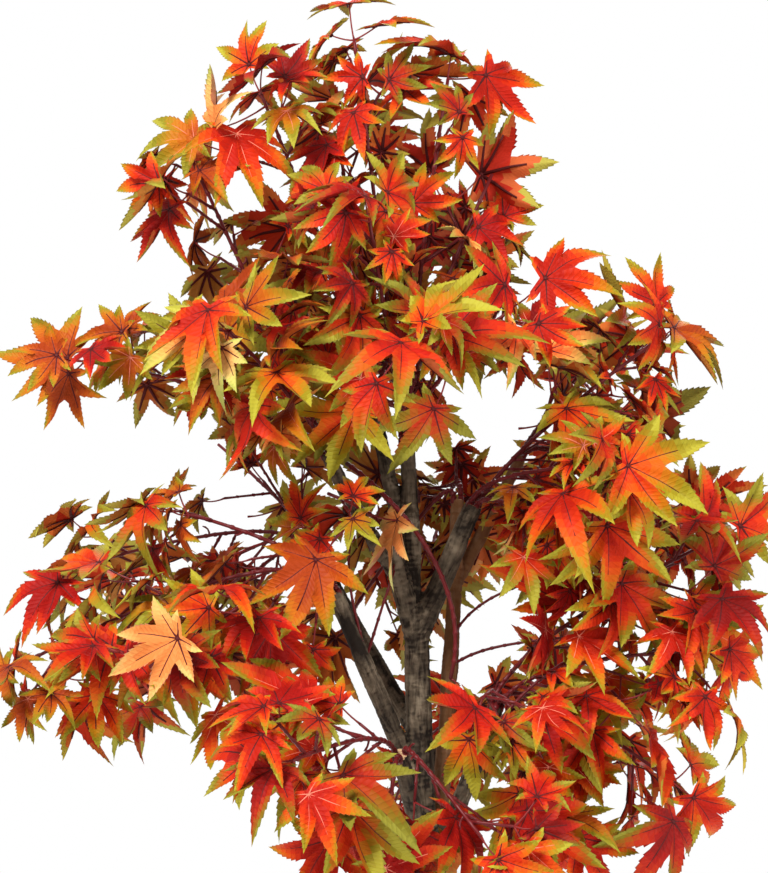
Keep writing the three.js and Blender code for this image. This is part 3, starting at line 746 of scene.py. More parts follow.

# %% [markdown]
# ## Loose stems and leaves
# Whoever dresses such a tree tucks the last stems in by hand, and some slip. One hangs in an arch
# over the fork, others stand beside the trunk. A few leaves are printed pale, and their palette is made
# lighter still as painted light, so that they look lit in the shade of other leaves. They are set here
# one by one, and each belongs to the spray that it hangs from.

# %% Stems one by one, each through four guiding places
LOOSE_STEMS = (  # spray, radius at foot and end, guiding places
    ("left_inner", (2.4, 2.0), (-84, -6, 1022), (-30, -75, 985), (42, -52, 905), (18, -44, 812)),
    ("left_low_high", (1.6, 1.1), (-66, -18, 826), (-68, -34, 860), (-88, -32, 900), (-80, -30, 945)),
    ("left_low_high", (1.6, 1.1), (-66, -18, 826), (-58, -34, 850), (-50, -32, 880), (-37, -30, 916)),
    ("right_low", (1.5, 1.2), (26, 10, 822), (55, 0, 842), (100, -10, 845), (150, -20, 852)),
    ("right_mid", (1.5, 1.2), (24, 20, 850), (45, 0, 890), (90, 0, 902), (135, 0, 912)),
    ("right_foot", (2.0, 1.6), (10, -34, 716), (42, -44, 708), (50, -34, 778), (130, -30, 826)),
)
LOOSE_LEAVES = (  # spray, joint, way of the middle rib, way the face looks, length of the middle lobe
    ("left_inner", (-34, -58, 968), (-0.35, -0.2, -0.9), (-0.9, -0.36, 0.25), 74),
    ("left_low_front", (-234, -188, 866), (-0.85, -0.1, -0.5), (-0.1, -1, 0.25), 68),
    ("top_left", (-216, -24, 1352), (0.06, 0, 1), (-0.93, -0.35, 0.1), 62),
    ("left_front", (-196, -165, 1130), (-0.25, -0.2, -1), (-0.45, -0.85, 0.25), 58),
)
# Pale print, made lighter still as painted light, so that these leaves look lit in the shade of others.
PALE_LIT = "pale_lit"
LOOSE_CURL = 0.12
STEM_PLACES = 41


def loose_leaf(spray, joint, rib, up, size):
    up = unit(np.array(up, float))
    rib = np.array(rib, float)
    rib = unit(rib - up * rib.dot(up))
    blade = make_blade(np.array(joint, float), rib, up, size, LOOSE_CURL)
    node = nearest_on(spray["curve"], blade["joint"], STEM_PLACES)
    return {"blade": blade, "root": node, "node": node, "end": False, "palette": PALE_LIT}


by_name = {spray["name"]: spray for spray in SPRAYS}
for name, *row in LOOSE_LEAVES:
    leaf = loose_leaf(by_name[name], *row)
    by_name[name]["leaves"].append(leaf)
    print(name, "gets a faded leaf", round(float(np.linalg.norm(leaf["node"] - row[0]))), "mm from its stem")

# %% [markdown]
# ## The pattern of one leaf
# Each leaf is cut from printed cloth by one die: seven toothed lobes round a joint with the stalk. The
# pattern is made once, flat, as rows of points across each half lobe, and each leaf then bends it in
# its own way. A sheet above and one below meet at the margin, so the underside can have its own
# paler print.

# %% The flat pattern, in shares of the middle lobe's length
LOBES = (  # angle from the middle rib, length, teeth on each side, share that the plastic rib covers
    (0, 1.0, 8, 0.64),
    (38, 0.88, 8, 0.62),
    (79, 0.66, 6, 0.6),
    (126, 0.4, 3, 0.55),
)
NOTCHES = ((19, 0.39), (58, 0.33), (102, 0.21), (180, 0.07))  # angle and depth, outward from each lobe
NECKS = (0.37, 0.34, 0.25, 0.12)  # where each rib passes between its two notches
ACROSS = (0, 0.5, 1)  # columns from the rib to the margin
INNER_ROWS = 3  # rows between the joint and the notch
TOOTH_DEPTH = 0.026
TOOTH_PLACE = 0.75  # a tooth points forward: it stands late in its stretch of margin
TOOTH_FADE = 0.7  # how much shallower the teeth are at a lobe's tip
TOOTH_ACROSS = 1.1  # a tooth stands past the margin
LOBE_BELLY = 0.135  # half width of a lobe, as a share of its length
BELLY_ROUND = 0.8
LOBE_TAPER = (1.25, 1.4)
TOP, UNDER = 0, 1


def turned(x, y, angle):
    c, s = math.cos(math.radians(angle)), math.sin(math.radians(angle))
    return (x * c - y * s, x * s + y * c)


class LeafPattern:
    """Points with the lobe they belong to, and faces with their place on the lobe."""

    def __init__(self):
        self.points = []  # x, y, offset across the rib, run along it
        self.lobes = []  # the two lobes that a point follows, the same one twice inside a lobe
        self.inner = []  # whether the point lies inside the lower sheet, away from the margin
        self.faces = []
        self.marks = []  # lobe, share along it, share across it, side, sheet
        self.known = {}

    def point(self, key, lobe, xy, offset, run, sheet, rim):
        key = (sheet, key)
        if key in self.known:
            i = self.known[key]
            self.lobes[i] = (self.lobes[i][0], lobe)
            return i
        self.known[key] = len(self.points)
        self.points.append((*xy, offset, run))
        self.lobes.append((lobe, lobe))
        self.inner.append(sheet == UNDER and not rim)
        return len(self.points) - 1

    def face(self, corners, lobe, along, across, side, sheet):
        corners = list(dict.fromkeys(corners))
        if len(corners) < 3:
            return
        if (side < 0) != (sheet == UNDER):
            corners[1:] = corners[:0:-1]  # the first corner stays, so both sheets split alike
        self.faces.append(corners)
        self.marks.append((lobe, along, across, side, sheet))


def lobe_edge(share, notch_y, length):
    """Half width of a lobe at a share of the way from its notch to its tip."""
    narrowing = (1 - share) ** LOBE_TAPER[0] * (1 + LOBE_TAPER[1] * share)
    belly = max(0.0, LOBE_BELLY * length - notch_y) * math.sin(math.pi * share) ** BELLY_ROUND
    return notch_y * narrowing + belly


def add_half_lobe(pattern, lobe, rib_angle, length, teeth, notch_angle, notch_radius, sheet):
    side = 1 if notch_angle > rib_angle else -1
    spread = math.radians(abs(notch_angle - rib_angle))
    notch_x, notch_y = notch_radius * math.cos(spread), notch_radius * math.sin(spread)
    neck = NECKS[abs(lobe)]
    line = notch_angle if abs(notch_angle) < 180 else 180
    rows = INNER_ROWS + teeth

    def row_point(row, across):
        if row <= INNER_ROWS:
            share = row / INNER_ROWS
            x, edge = between((neck, notch_x), across) * share, notch_y * share
        else:
            share = (row - INNER_ROWS) / teeth
            start = between((neck, notch_x), across)
            x = start + (length - start) * share
            edge = lobe_edge(share, notch_y, length)
        if row == 0:
            key = "joint"
        elif row == rows:
            key = (lobe, "tip")
        elif across == 0:
            key = (lobe, row, "rib")
        elif across == 1 and row <= INNER_ROWS:
            key = (line, row)
        else:
            key = (lobe, side, row, across)
        y = side * edge * across
        rim = row == rows or (across == 1 and row >= INNER_ROWS)
        return pattern.point(key, lobe, turned(x, y, rib_angle), y, x, sheet, rim)

    grid = [[row_point(row, across) for across in ACROSS] for row in range(rows + 1)]
    for row, column in product(range(rows), range(len(ACROSS) - 1)):
        quad = (grid[row][column], grid[row + 1][column], grid[row + 1][column + 1], grid[row][column + 1])
        along = (pattern.points[quad[0]][3] + pattern.points[quad[1]][3]) / 2 / length
        across = (ACROSS[column] + ACROSS[column + 1]) / 2
        pattern.face(quad, lobe, along, across, side, sheet)
    for tooth in range(1, teeth - 1):
        share = (tooth + TOOTH_PLACE) / teeth
        x = notch_x + (length - notch_x) * share
        depth = TOOTH_DEPTH * length ** 0.5 * (1 - TOOTH_FADE * share)
        y = side * (lobe_edge(share, notch_y, length) + depth)
        place = turned(x + depth, y, rib_angle)
        tip = pattern.point((lobe, side, "tooth", tooth), lobe, place, y, x, sheet, True)
        row = INNER_ROWS + tooth
        pattern.face((grid[row][-1], grid[row + 1][-1], tip), lobe, x / length, TOOTH_ACROSS, side, sheet)


pattern = LeafPattern()
for sheet, (i, (angle, length, teeth, _)), sign in product((TOP, UNDER), enumerate(LOBES), (1, -1)):
    if i == 0 and sign < 0:
        continue
    inner, inner_radius = NOTCHES[i - 1] if i else (-NOTCHES[0][0], NOTCHES[0][1])
    for notch, radius in (NOTCHES[i], (inner, inner_radius)):
        add_half_lobe(pattern, sign * i, sign * angle, length, teeth, sign * notch, radius, sheet)
print("a leaf has", len(pattern.points), "points and", sum(len(f) - 2 for f in pattern.faces), "triangles")

# %% [markdown]
# ## Colours
# Printed leaves start red at the joint and turn green towards their tips and along parts of the
# margin. Each leaf has a palette of plain colours, and every face takes the step of the palette that
# suits its place on its lobe. The spray's tint decides which palettes are dealt out. Roughness and
# weave come from one shared shader group.

# %% Palettes, from the joint to the tips
PALETTES = {  # six colours each, with the steps of the palette blended between them
    "flame": "A01604 BC2A05 C84C0A AA6E0E 8A7A14 A2982C",
    "scarlet": "8E0C06 AA1807 BE3008 A6560E 7C6C12 928828",
    "crimson": "740A06 8E1008 A2280A 8A4E0E 6C6210 827C28",
    "rust": "94340A A6460A B0600E 9A7012 7C7214 98902C",
    "peach": "C43C14 D25C26 DA863E D2A450 BCAC50 ACA63E",
    # The loose leaves' pale print, made lighter still as painted light.
    "pale_lit": "CC763A D68E4C D8A25C CEAA62 BCB25A ACAC52",
}
UNDERSIDES = {
    "flame": "BC3216 C8662A AE9C3A",
    "scarlet": "AA2412 B8562C 9E923A",
    "crimson": "8E1A12 A4482A 8C8434",
    "rust": "A8501C B47432 A0963E",
    "peach": "D46C3C DE9A5C C4BA68",
    # The loose leaves' paler underside, lightened the same way as painted light.
    "pale_lit": "D69068 DCAE7C C8BE74",
}
DEALS = {  # what share of a spray's leaves takes each palette
    "flame": {"flame": 0.66, "scarlet": 0.16, "rust": 0.08, "crimson": 0.06, "peach": 0.04},
    "scarlet": {"scarlet": 0.5, "crimson": 0.2, "flame": 0.26, "peach": 0.04},
    "rust": {"rust": 0.62, "flame": 0.22, "scarlet": 0.1, "peach": 0.06},
}
TOP_STEPS = 12
UNDER_STEPS = 3
PLASTIC = {"stem": "62181A", "stalk": "7C2220", "rib": "4A0C0C", "vein": "DC7C64"}
PLASTIC_FINISH = {"stem": 0.4, "stalk": 0.45, "rib": 0.65, "vein": 0.8}  # roughness


def linear(code):
    """A colour code as the linear red, green and blue that shaders take."""
    values = [int(code[i:i + 2], 16) / 255 for i in (0, 2, 4)]
    return [v / 12.92 if v <= 0.04045 else ((v + 0.055) / 1.055) ** 2.4 for v in values] + [1.0]


def blend(codes, steps):
    """So many linear colours, spread evenly over a run of colour codes."""
    codes = np.array([linear(code) for code in codes.split()])
    places = np.linspace(0, len(codes) - 1, steps)
    return [[float(np.interp(p, range(len(codes)), channel)) for channel in codes.T] for p in places]


print(len(PALETTES), "palettes of", TOP_STEPS, "colours above and", UNDER_STEPS, "below")

# %% [markdown]
# ## Shader groups
# A group holds one effect, such as the weave of the cloth, with named inputs. All materials that
# need the effect share the group, so a change is made once.

# %% Building blocks for groups
def new_group(name, inputs, outputs):
    group = bpy.data.node_groups.new(name, "ShaderNodeTree")
    for label, kind, value in inputs:
        group.interface.new_socket(label, in_out="INPUT", socket_type=kind).default_value = value
    for label, kind in outputs:
        group.interface.new_socket(label, in_out="OUTPUT", socket_type=kind)
    return group, group.nodes.new("NodeGroupInput"), group.nodes.new("NodeGroupOutput")


def add_node(tree, kind, settings=(), **links):
    """A node with its settings and its inputs, each a number, a colour or another node's output."""
    node = tree.nodes.new(kind)
    for label, value in settings:
        setattr(node, label, value)
    for label, value in links.items():
        socket = node.inputs[int(label[1:])] if label[1:].isdigit() else node.inputs[label.replace("_", " ")]
        if isinstance(value, bpy.types.NodeSocket):
            tree.links.new(value, socket)
        else:
            socket.default_value = value
    return node


def math_node(tree, operation, *values):
    values = {f"_{i}": value for i, value in enumerate(values)}
    return add_node(tree, "ShaderNodeMath", [("operation", operation)], **values).outputs[0]


def noise_node(tree, place, scale, detail, distortion=0.0):
    settings = {"Vector": place, "Scale": scale, "Detail": detail, "Distortion": distortion}
    return add_node(tree, "ShaderNodeTexNoise", **settings).outputs["Fac"]


def bump_node(tree, strength, distance, height, **more):
    settings = {"Strength": strength, "Distance": distance, "Height": height}
    return add_node(tree, "ShaderNodeBump", **settings, **more).outputs["Normal"]


def give_out(group, result, **outputs):
    for label, value in outputs.items():
        group.links.new(value, result.inputs[label.replace("_", " ")])


def plain_material(name, colour, group, specular, **settings):
    """A material of one plain colour; what the shared group gives out goes over it."""
    material = bpy.data.materials.new(name)
    material.use_nodes = True
    tree = material.node_tree
    shader = tree.nodes["Principled BSDF"]
    shader.inputs["Base Color"].default_value = colour
    shader.inputs["Specular IOR Level"].default_value = specular
    effect = add_node(tree, "ShaderNodeGroup", [("node_tree", group)], **settings)
    for output in effect.outputs:
        tree.links.new(output, shader.inputs[output.name])
    return material


# %% Woven cloth with pressed veins
# The leaf's own map gives the place across and along each lobe, in millimetres.
WEAVE_NOISE = (900.0, 2.0)  # scale, detail
WEAVE_RELIEF = 0.0004
VEIN_SPACING = 4.5
VEIN_SLOPE = 0.9
VEIN_SHARPNESS = 3.0
VEIN_RELIEF = 0.0005
PATCH_NOISE = (40.0, 2.0)
PATCH_DULLING = 0.16
FINISH = [("Roughness", "NodeSocketFloat"), ("Normal", "NodeSocketVector")]
cloth, source, result = new_group(
    "silk cloth",
    [
        ("Roughness", "NodeSocketFloat", 0.6), ("Weave", "NodeSocketFloat", 0.25),
        ("Veins", "NodeSocketFloat", 0.6),
    ],
    FINISH,
)
place = add_node(cloth, "ShaderNodeUVMap", [("uv_map", "lobe")])
parts = add_node(cloth, "ShaderNodeSeparateXYZ", Vector=place.outputs["UV"])
side = math_node(cloth, "ABSOLUTE", parts.outputs["X"])
run = math_node(cloth, "SUBTRACT", parts.outputs["Y"], math_node(cloth, "MULTIPLY", side, VEIN_SLOPE))
vein = math_node(cloth, "PINGPONG", run, VEIN_SPACING / 2)
vein = math_node(cloth, "POWER", math_node(cloth, "DIVIDE", vein, VEIN_SPACING / 2), VEIN_SHARPNESS)
spot = add_node(cloth, "ShaderNodeTexCoord").outputs["Object"]
weave = noise_node(cloth, spot, *WEAVE_NOISE)
patches = noise_node(cloth, spot, *PATCH_NOISE)
pressed = bump_node(cloth, source.outputs["Veins"], VEIN_RELIEF, vein)
woven = bump_node(cloth, source.outputs["Weave"], WEAVE_RELIEF, weave, Normal=pressed)
shift = math_node(cloth, "MULTIPLY_ADD", patches, PATCH_DULLING, -PATCH_DULLING / 2)
rough = math_node(cloth, "ADD", source.outputs["Roughness"], shift)
give_out(cloth, result, Roughness=rough, Normal=woven)
print("silk cloth has", len(cloth.nodes), "nodes")

# %% Moulded plastic, slightly uneven and dulled
RIPPLE_NOISE = (420.0, 3.0)
RIPPLE_RELIEF = 0.0006
SPOT_NOISE = (90.0, 2.0)
SPOT_DULLING = 0.3
moulded, source, result = new_group(
    "moulded plastic",
    [("Roughness", "NodeSocketFloat", 0.42), ("Unevenness", "NodeSocketFloat", 0.35)],
    FINISH,
)
spot = add_node(moulded, "ShaderNodeTexCoord").outputs["Object"]
ripple = noise_node(moulded, spot, *RIPPLE_NOISE)
dulling = noise_node(moulded, spot, *SPOT_NOISE)
uneven = bump_node(moulded, source.outputs["Unevenness"], RIPPLE_RELIEF, ripple)
shift = math_node(moulded, "MULTIPLY_ADD", dulling, SPOT_DULLING, -SPOT_DULLING / 2)
rough = math_node(moulded, "ADD", source.outputs["Roughness"], shift)
give_out(moulded, result, Roughness=rough, Normal=uneven)
print("moulded plastic has", len(moulded.nodes), "nodes")

# %% The leaf and stem materials
CLOTH_SPECULAR = 0.12
PLASTIC_SPECULAR = 0.22
SHEETS = {  # palettes, how many steps, finish
    "top": (PALETTES, TOP_STEPS, {"Roughness": 0.58, "Veins": 0.7}),
    "under": (UNDERSIDES, UNDER_STEPS, {"Roughness": 0.68, "Veins": 0.4}),
}
leaf_materials = {}
for palette, (sheet, (table, steps, finish)) in product(PALETTES, SHEETS.items()):
    for step, colour in enumerate(blend(table[palette], steps)):
        name = f"leaf_{palette}_{sheet}_{step}"
        leaf_materials[palette, sheet, step] = plain_material(name, colour, cloth, CLOTH_SPECULAR, **finish)
plastics = {}
for part, code in PLASTIC.items():
    finish = {"Roughness": PLASTIC_FINISH[part]}
    plastics[part] = plain_material(f"plastic_{part}", linear(code), moulded, PLASTIC_SPECULAR, **finish)
print(len(leaf_materials), "leaf materials and", len(plastics), "plastics")

# %% [markdown]
# ## Bending and joining the leaves
# No two leaves hang alike, though one die cut them all. Each lobe gets its own sway, fold, droop,
# ripple and twist, drawn from the leaf's own seed. A point between two lobes takes the mean of both,
# so the cloth never tears. The leaves of one spray are joined into one mesh straight from arrays.

# %% Bend one leaf
SWAY = 8.0
SIDEWAYS = 9.0  # degrees that a lobe's tip curves to one side
STRETCH = 0.07
DROOP = (-0.75, 0.5)
DROOP_BEGINS = 0.25
BENT_LOBES = 0.16  # share of lobes that hang over
BENT_DROOP = 0.9
FOLD = (0.3, 1.1)
RIPPLE = 0.25
RIPPLE_RATE = 9.0
TWIST = 1.2
TWIST_BEGINS = 0.35
CLOTH_THICKNESS = 0.35
LOBE_COUNT = 7

flat = np.array(pattern.points)
lobe_pairs = np.array(pattern.lobes) + LOBE_COUNT // 2
inner_points = np.array(pattern.inner)
face_corners = np.concatenate([np.array(face) for face in pattern.faces])
face_counts = np.array([len(face) for face in pattern.faces])
face_marks = np.array(pattern.marks)


def bend_leaf(blade, rng):
    """The points of the pattern, bent in the leaf's own way and set at its place on the tree."""
    def per_lobe(low, high):
        return rng.uniform(low, high, LOBE_COUNT)[lobe_pairs].mean(axis=1)

    x, y, offset, run = flat.T
    reach = np.hypot(x, y)
    outer = np.maximum(0, reach - TWIST_BEGINS)
    turn = np.radians(per_lobe(-SWAY, SWAY)) * np.minimum(1, reach / DROOP_BEGINS)
    turn += np.radians(per_lobe(-SIDEWAYS, SIDEWAYS)) * outer / (1 - TWIST_BEGINS)
    stretch = 1 + per_lobe(-STRETCH, STRETCH) * np.clip(reach / DROOP_BEGINS - 1, 0, 1)
    x, y = (x * np.cos(turn) - y * np.sin(turn)) * stretch, (x * np.sin(turn) + y * np.cos(turn)) * stretch
    bent = rng.random(LOBE_COUNT) < BENT_LOBES
    droop = np.where(bent, BENT_DROOP, rng.uniform(*DROOP, LOBE_COUNT))[lobe_pairs].mean(axis=1)
    wide = np.abs(offset)
    z = -blade["curl"] * reach ** 2 - droop * np.maximum(0, reach - DROOP_BEGINS) ** 2
    z += per_lobe(*FOLD) * wide * np.minimum(1, reach / DROOP_BEGINS)
    z += per_lobe(-RIPPLE, RIPPLE) * np.sin(per_lobe(0, 2 * math.pi) + RIPPLE_RATE * run) * wide
    z += per_lobe(-TWIST, TWIST) * offset * outer
    z -= inner_points * CLOTH_THICKNESS / blade["size"]
    spread = x[:, None] * blade["rib"] + y[:, None] * blade["across"] + z[:, None] * blade["up"]
    return blade["joint"] + blade["size"] * spread


# %% Colour one leaf
GREEN_ALONG = 0.9
GREEN_ACROSS = 0.18
GREEN_RATE = 1.6
LEAF_TURN = (-0.24, 0.32)  # how far a whole leaf has turned to green
LOBE_TURN = 0.16
SIDE_TURN = 0.5
FACE_TURN = 0.04


def colour_leaf(rng):
    """The step of its palette for each face of a leaf; the lower sheet's steps follow the upper's."""
    lobe, along, across, side, sheet = face_marks.T
    lobe = lobe.astype(int) + LOBE_COUNT // 2
    green = GREEN_ALONG * along ** GREEN_RATE + GREEN_ACROSS * across * along
    green += rng.uniform(*LEAF_TURN) + rng.uniform(-LOBE_TURN, LOBE_TURN, LOBE_COUNT)[lobe]
    green += side * across * along * rng.uniform(-SIDE_TURN, SIDE_TURN, LOBE_COUNT)[lobe]
    green += rng.uniform(-FACE_TURN, FACE_TURN, len(along)) * along
    steps = np.where(sheet == TOP, TOP_STEPS, UNDER_STEPS)
    return np.clip(green * steps, 0, steps - 1).astype(int)


# %% Meshes from arrays
def join_piece(name, points, corners, counts, material_of, materials, lobe_map=None):
    """One object from points in millimetres and faces as one run of corners with a count for each."""
    mesh = bpy.data.meshes.new(name)
    mesh.vertices.add(len(points))
    mesh.vertices.foreach_set("co", (points * MM).ravel())
    mesh.loops.add(len(corners))
    mesh.loops.foreach_set("vertex_index", corners)
    mesh.polygons.add(len(counts))
    mesh.polygons.foreach_set("loop_start", np.cumsum(counts) - counts)
    for material in materials:
        mesh.materials.append(material)
    mesh.polygons.foreach_set("material_index", material_of)
    mesh.polygons.foreach_set("use_smooth", np.ones(len(counts), bool))
    if lobe_map is not None:
        mesh.uv_layers.new(name="lobe").data.foreach_set("uv", lobe_map.ravel())
    mesh.update(calc_edges=True)
    piece = bpy.data.objects.new(name, mesh)
    bpy.context.collection.objects.link(piece)
    return piece


def dress(piece, slot, *nodes):
    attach(piece, BODY)
    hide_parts(*nodes)


# %% The leaves of each spray
def deal_palette(tint, level):
    """The palette at a level from 0 to 1 of the shares that a spray's tint deals out."""
    for palette, share in DEALS[tint].items():
        level -= share
        if level < 0:
            break
    return palette


def dress_leaves(spray):
    points, corners, counts, indices, lobe_map = [], [], [], [], []
    used = {}
    for i, leaf in enumerate(spray["leaves"]):
        rng = np.random.default_rng([spray["seed"], i])
        dealt = deal_palette(spray["tint"], rng.random())
        leaf["palette"] = leaf.get("palette", dealt)
        leaf["points"] = bend_leaf(leaf["blade"], rng)
        steps = colour_leaf(rng)
        sheets = ["under" if mark[4] == UNDER else "top" for mark in pattern.marks]
        keys = [(leaf["palette"], sheet, step) for sheet, step in zip(sheets, steps)]
        indices.append([used.setdefault(key, len(used)) for key in keys])
        corners.append(face_corners + i * len(flat))
        counts.append(face_counts)
        points.append(leaf["points"])
        lobe_map.append(flat[face_corners, 2:4] * leaf["blade"]["size"])
    piece = join_piece(
        "leaves_" + spray["name"], np.concatenate(points), np.concatenate(corners), np.concatenate(counts),
        np.concatenate(indices), [leaf_materials[key] for key in used], np.concatenate(lobe_map),
    )
    dress(piece, "leaf_" + spray["tint"], "foliage_" + spray["name"])
    return len(np.concatenate(counts))


faces = sum(dress_leaves(spray) for spray in SPRAYS)
print(sum(len(spray["leaves"]) for spray in SPRAYS), "leaves of", faces, "faces")

# %% [markdown]
# ## Stems, sprigs, stalks and ribs
# All of these are moulded plastic. Each is swept along a path as a tube: rings of points square to the
# path, carried along without twisting. The moulding leaves beads on the stems where cut-off gates
# and false buds sit, so the radius swells in short collars.

# %% Tubes
class Sweep:
    """Collects tubes and small solids of one spray, to be joined into one mesh."""

    def __init__(self):
        self.points, self.corners, self.counts, self.parts, self.size = [], [], [], [], 0

    def add(self, points, faces, part):
        for face in faces:
            self.corners.extend(i + self.size for i in face)
            self.counts.append(len(face))
            self.parts.append(part)
        self.points.append(points)
        self.size += len(points)

    def tube(self, path, radii, sides, part):
        path = np.asarray(path)
        ahead = np.gradient(path, axis=0)
        ahead /= np.linalg.norm(ahead, axis=1)[:, None]
        side = square_to(ahead[0], 0)
        turns = np.arange(sides) * 2 * math.pi / sides
        rings = []
        for place, axis, radius in zip(path, ahead, radii):
            side = unit(side - axis * side.dot(axis))
            other = np.cross(axis, side)
            rings.append(place + radius * (np.outer(np.cos(turns), side) + np.outer(np.sin(turns), other)))
        self.add(np.concatenate(rings), tube_faces(len(path), sides), part)

    def piece(self, name):
        place = {part: i for i, part in enumerate(plastics)}
        return join_piece(
            name, np.concatenate(self.points), np.array(self.corners), np.array(self.counts),
            np.array([place[part] for part in self.parts]), plastics.values(),
        )


def tube_faces(rings, sides):
    faces = [list(reversed(range(sides)))]
    for ring, i in product(range(rings - 1), range(sides)):
        a, b = ring * sides + i, ring * sides + (i + 1) % sides
        faces.append([a, b, b + sides, a + sides])
    return faces + [list(range((rings - 1) * sides, rings * sides))]


# %% Beaded stems
BEAD_SPACING = (9, 18)
BEAD = ((-2.0, 1.0), (-0.8, 1.3), (0.8, 1.3), (2.0, 1.0))  # distance from its middle, swelling
FIRST_BEAD = 2.0
STEM_SUNK = 5.0
PLUG_LENGTH = 3.0
PLUG_STEP = 0.6
PLUG_SWELL = 1.35
STEM_SAMPLES = 20
STEM_SIDES = 8
SPRIG_SIDES = 6
STALK_SIDES = 5
SPRIG_DRAWN = (1.7, 1.25)
SHORTEST_SPRIG = 6.0  # the leaves on the very tip of a stem need none
STALK_DRAWN = (0.95, 0.75)
STALK_STATIONS = 6
STALK_BOW = 0.1
BOW_PLAY = 0.5  # of the bow, to any side
STALK_FOOT = 1.4
NODE_SWELL = 1.3
WANDER = 0.25
LOOSE_STEPS = 41
HOOKS = 3
HOOK_SPAN = (0.2, 0.95)
HOOK_LENGTH = (6, 12)
HOOK_CURVE = (0.8, 0.7)
HOOK_RADII = (1.3, 1.1, 1.0, 1.2, 0.6)


def beaded_stations(length, rng, start=0.0):
    """Places along a stem, in millimetres, and how far each swells."""
    stations = [(start, 1.0)]
    middle = start + rng.uniform(*BEAD_SPACING) / 2 + FIRST_BEAD
    while middle < length - BEAD_SPACING[0] / 2:
        stations += [(middle + shift, swell) for shift, swell in BEAD]
        middle += rng.uniform(*BEAD_SPACING)
    return np.array(stations + [(length, 1.0)])


def wandering(path, rng, steady):
    """The path with its free points moved a little to any side."""
    return path + rng.uniform(-WANDER, WANDER, path.shape) * steady


def draw_stem(sweep, spray, rng):
    curve = spray["curve"]
    length = np.linalg.norm(np.diff(curve.points(STEM_SAMPLES), axis=0), axis=1).sum()
    places, swell = beaded_stations(length, rng, PLUG_LENGTH).T
    path = wandering(np.array([curve.at(s) for s in places / length]), rng, (swell == 1)[:, None])
    radii = between(STEM_RADII, places / length) * swell
    axis = curve.along(0)
    foot = [curve.at(0) - STEM_SUNK * axis, curve.at(0) + (PLUG_LENGTH - PLUG_STEP) * axis]
    path = np.concatenate([foot, path])
    radii = np.concatenate([[STEM_RADII[0] * PLUG_SWELL] * 2, radii])
    sweep.tube(path, radii, STEM_SIDES, "stem")
    for _ in range(HOOKS):
        share = rng.uniform(*HOOK_SPAN)
        draw_hook(sweep, curve.at(share), curve.along(share), rng)


def draw_hook(sweep, foot, ahead, rng):
    """A short empty peg, curved forward, where no sprig was fitted."""
    side = square_to(ahead, rng.uniform(0, 360))
    reach = rng.uniform(*HOOK_LENGTH)
    out, on = HOOK_CURVE
    peg = Bend(foot, foot + side * reach * out, foot + side * reach + ahead * reach * on)
    sweep.tube(peg.points(len(HOOK_RADII)), HOOK_RADII, STALK_SIDES, "stem")


def draw_loose_stem(sweep, path, radii, rng):
    """A long beaded stem through four places, eased between them."""
    path = np.array(path, float)
    on = np.linspace(0, 1, LOOSE_STEPS)[:, None]
    back = 1 - on
    eased = back ** 3 * path[0] + 3 * on * back ** 2 * path[1]
    eased += 3 * on ** 2 * back * path[2] + on ** 3 * path[3]
    run = np.concatenate([[0], np.cumsum(np.linalg.norm(np.diff(eased, axis=0), axis=1))])
    places, swell = beaded_stations(run[-1], rng).T
    line = np.stack([np.interp(places, run, axis) for axis in eased.T], 1)
    sweep.tube(line, between(radii, places / run[-1]) * swell, STEM_SIDES, "stem")
    draw_hook(sweep, line[-1], unit(line[-1] - line[-2]), rng)


def draw_sprig(sweep, root, node, rng):
    length = np.linalg.norm(node - root)
    places, swell = beaded_stations(length, rng).T
    swell[-1] = NODE_SWELL
    path = root + np.outer(places / length, node - root)
    path[1:-1] = wandering(path[1:-1], rng, 1)
    sweep.tube(path, between(SPRIG_DRAWN, places / length) * swell, SPRIG_SIDES, "stem")


def draw_stalk(sweep, node, blade, rng):
    joint = blade["joint"] - blade["up"] * RIB_DEPTH
    length = np.linalg.norm(joint - node)
    bow = -UP * STALK_BOW * length + rng.uniform(-1, 1, 3) * STALK_BOW * length * BOW_PLAY
    stalk = Bend(node, (node + joint) / 2 + bow, joint)
    radii = between(STALK_DRAWN, np.linspace(0, 1, STALK_STATIONS))
    radii[0] *= STALK_FOOT
    sweep.tube(stalk.points(STALK_STATIONS), radii, STALK_SIDES, "stalk")


# %% Ribs and hub of a leaf
RIB_HALF_WIDTH = (1.9, 0.95)
RIB_HEIGHT = 0.55
RIB_DEPTH = 0.9
HIDDEN_RIBS = 0.14  # share of the leaves with ribs only below, and pale printed veins above
HIDDEN_UNDER = 0.1  # how far a hidden rib's ridge stays below the cloth
VEIN_HALF_WIDTH = (0.7, 0.35)
VEIN_HEIGHT = 0.2
VEIN_DEPTH = 0.1
RIB_RINGS = (5, 3)  # on the long lobes and on the short ones
SHORT_LOBE = 0.5
HUB_SIDES = 8
HUB_RADIUS = 2.3
HIDDEN_HUB = 1.2  # how much lower the hub of hidden ribs lies
HUB_RINGS = ((0.35, 1.0), (0.9, 0.75), (1.0, -0.9), (0.4, -1.6))  # share of the radius, height


def rib_points(lobe):
    """The pattern's points that the rib of a lobe follows, from the joint outward."""
    _, length, teeth, cover = LOBES[abs(lobe)]
    keys = ["joint"] + [(lobe, row, "rib") for row in range(1, INNER_ROWS + teeth)]
    known = [pattern.known[TOP, key] for key in keys]
    inside = [i for i in known if flat[i, 3] <= cover * length]
    rings = RIB_RINGS[0] if length > SHORT_LOBE else RIB_RINGS[1]
    return [inside[i] for i in np.unique(np.linspace(0, len(inside) - 1, rings).round().astype(int))]


ribs = [rib_points(lobe) for lobe in range(1 - len(LOBES), len(LOBES))]


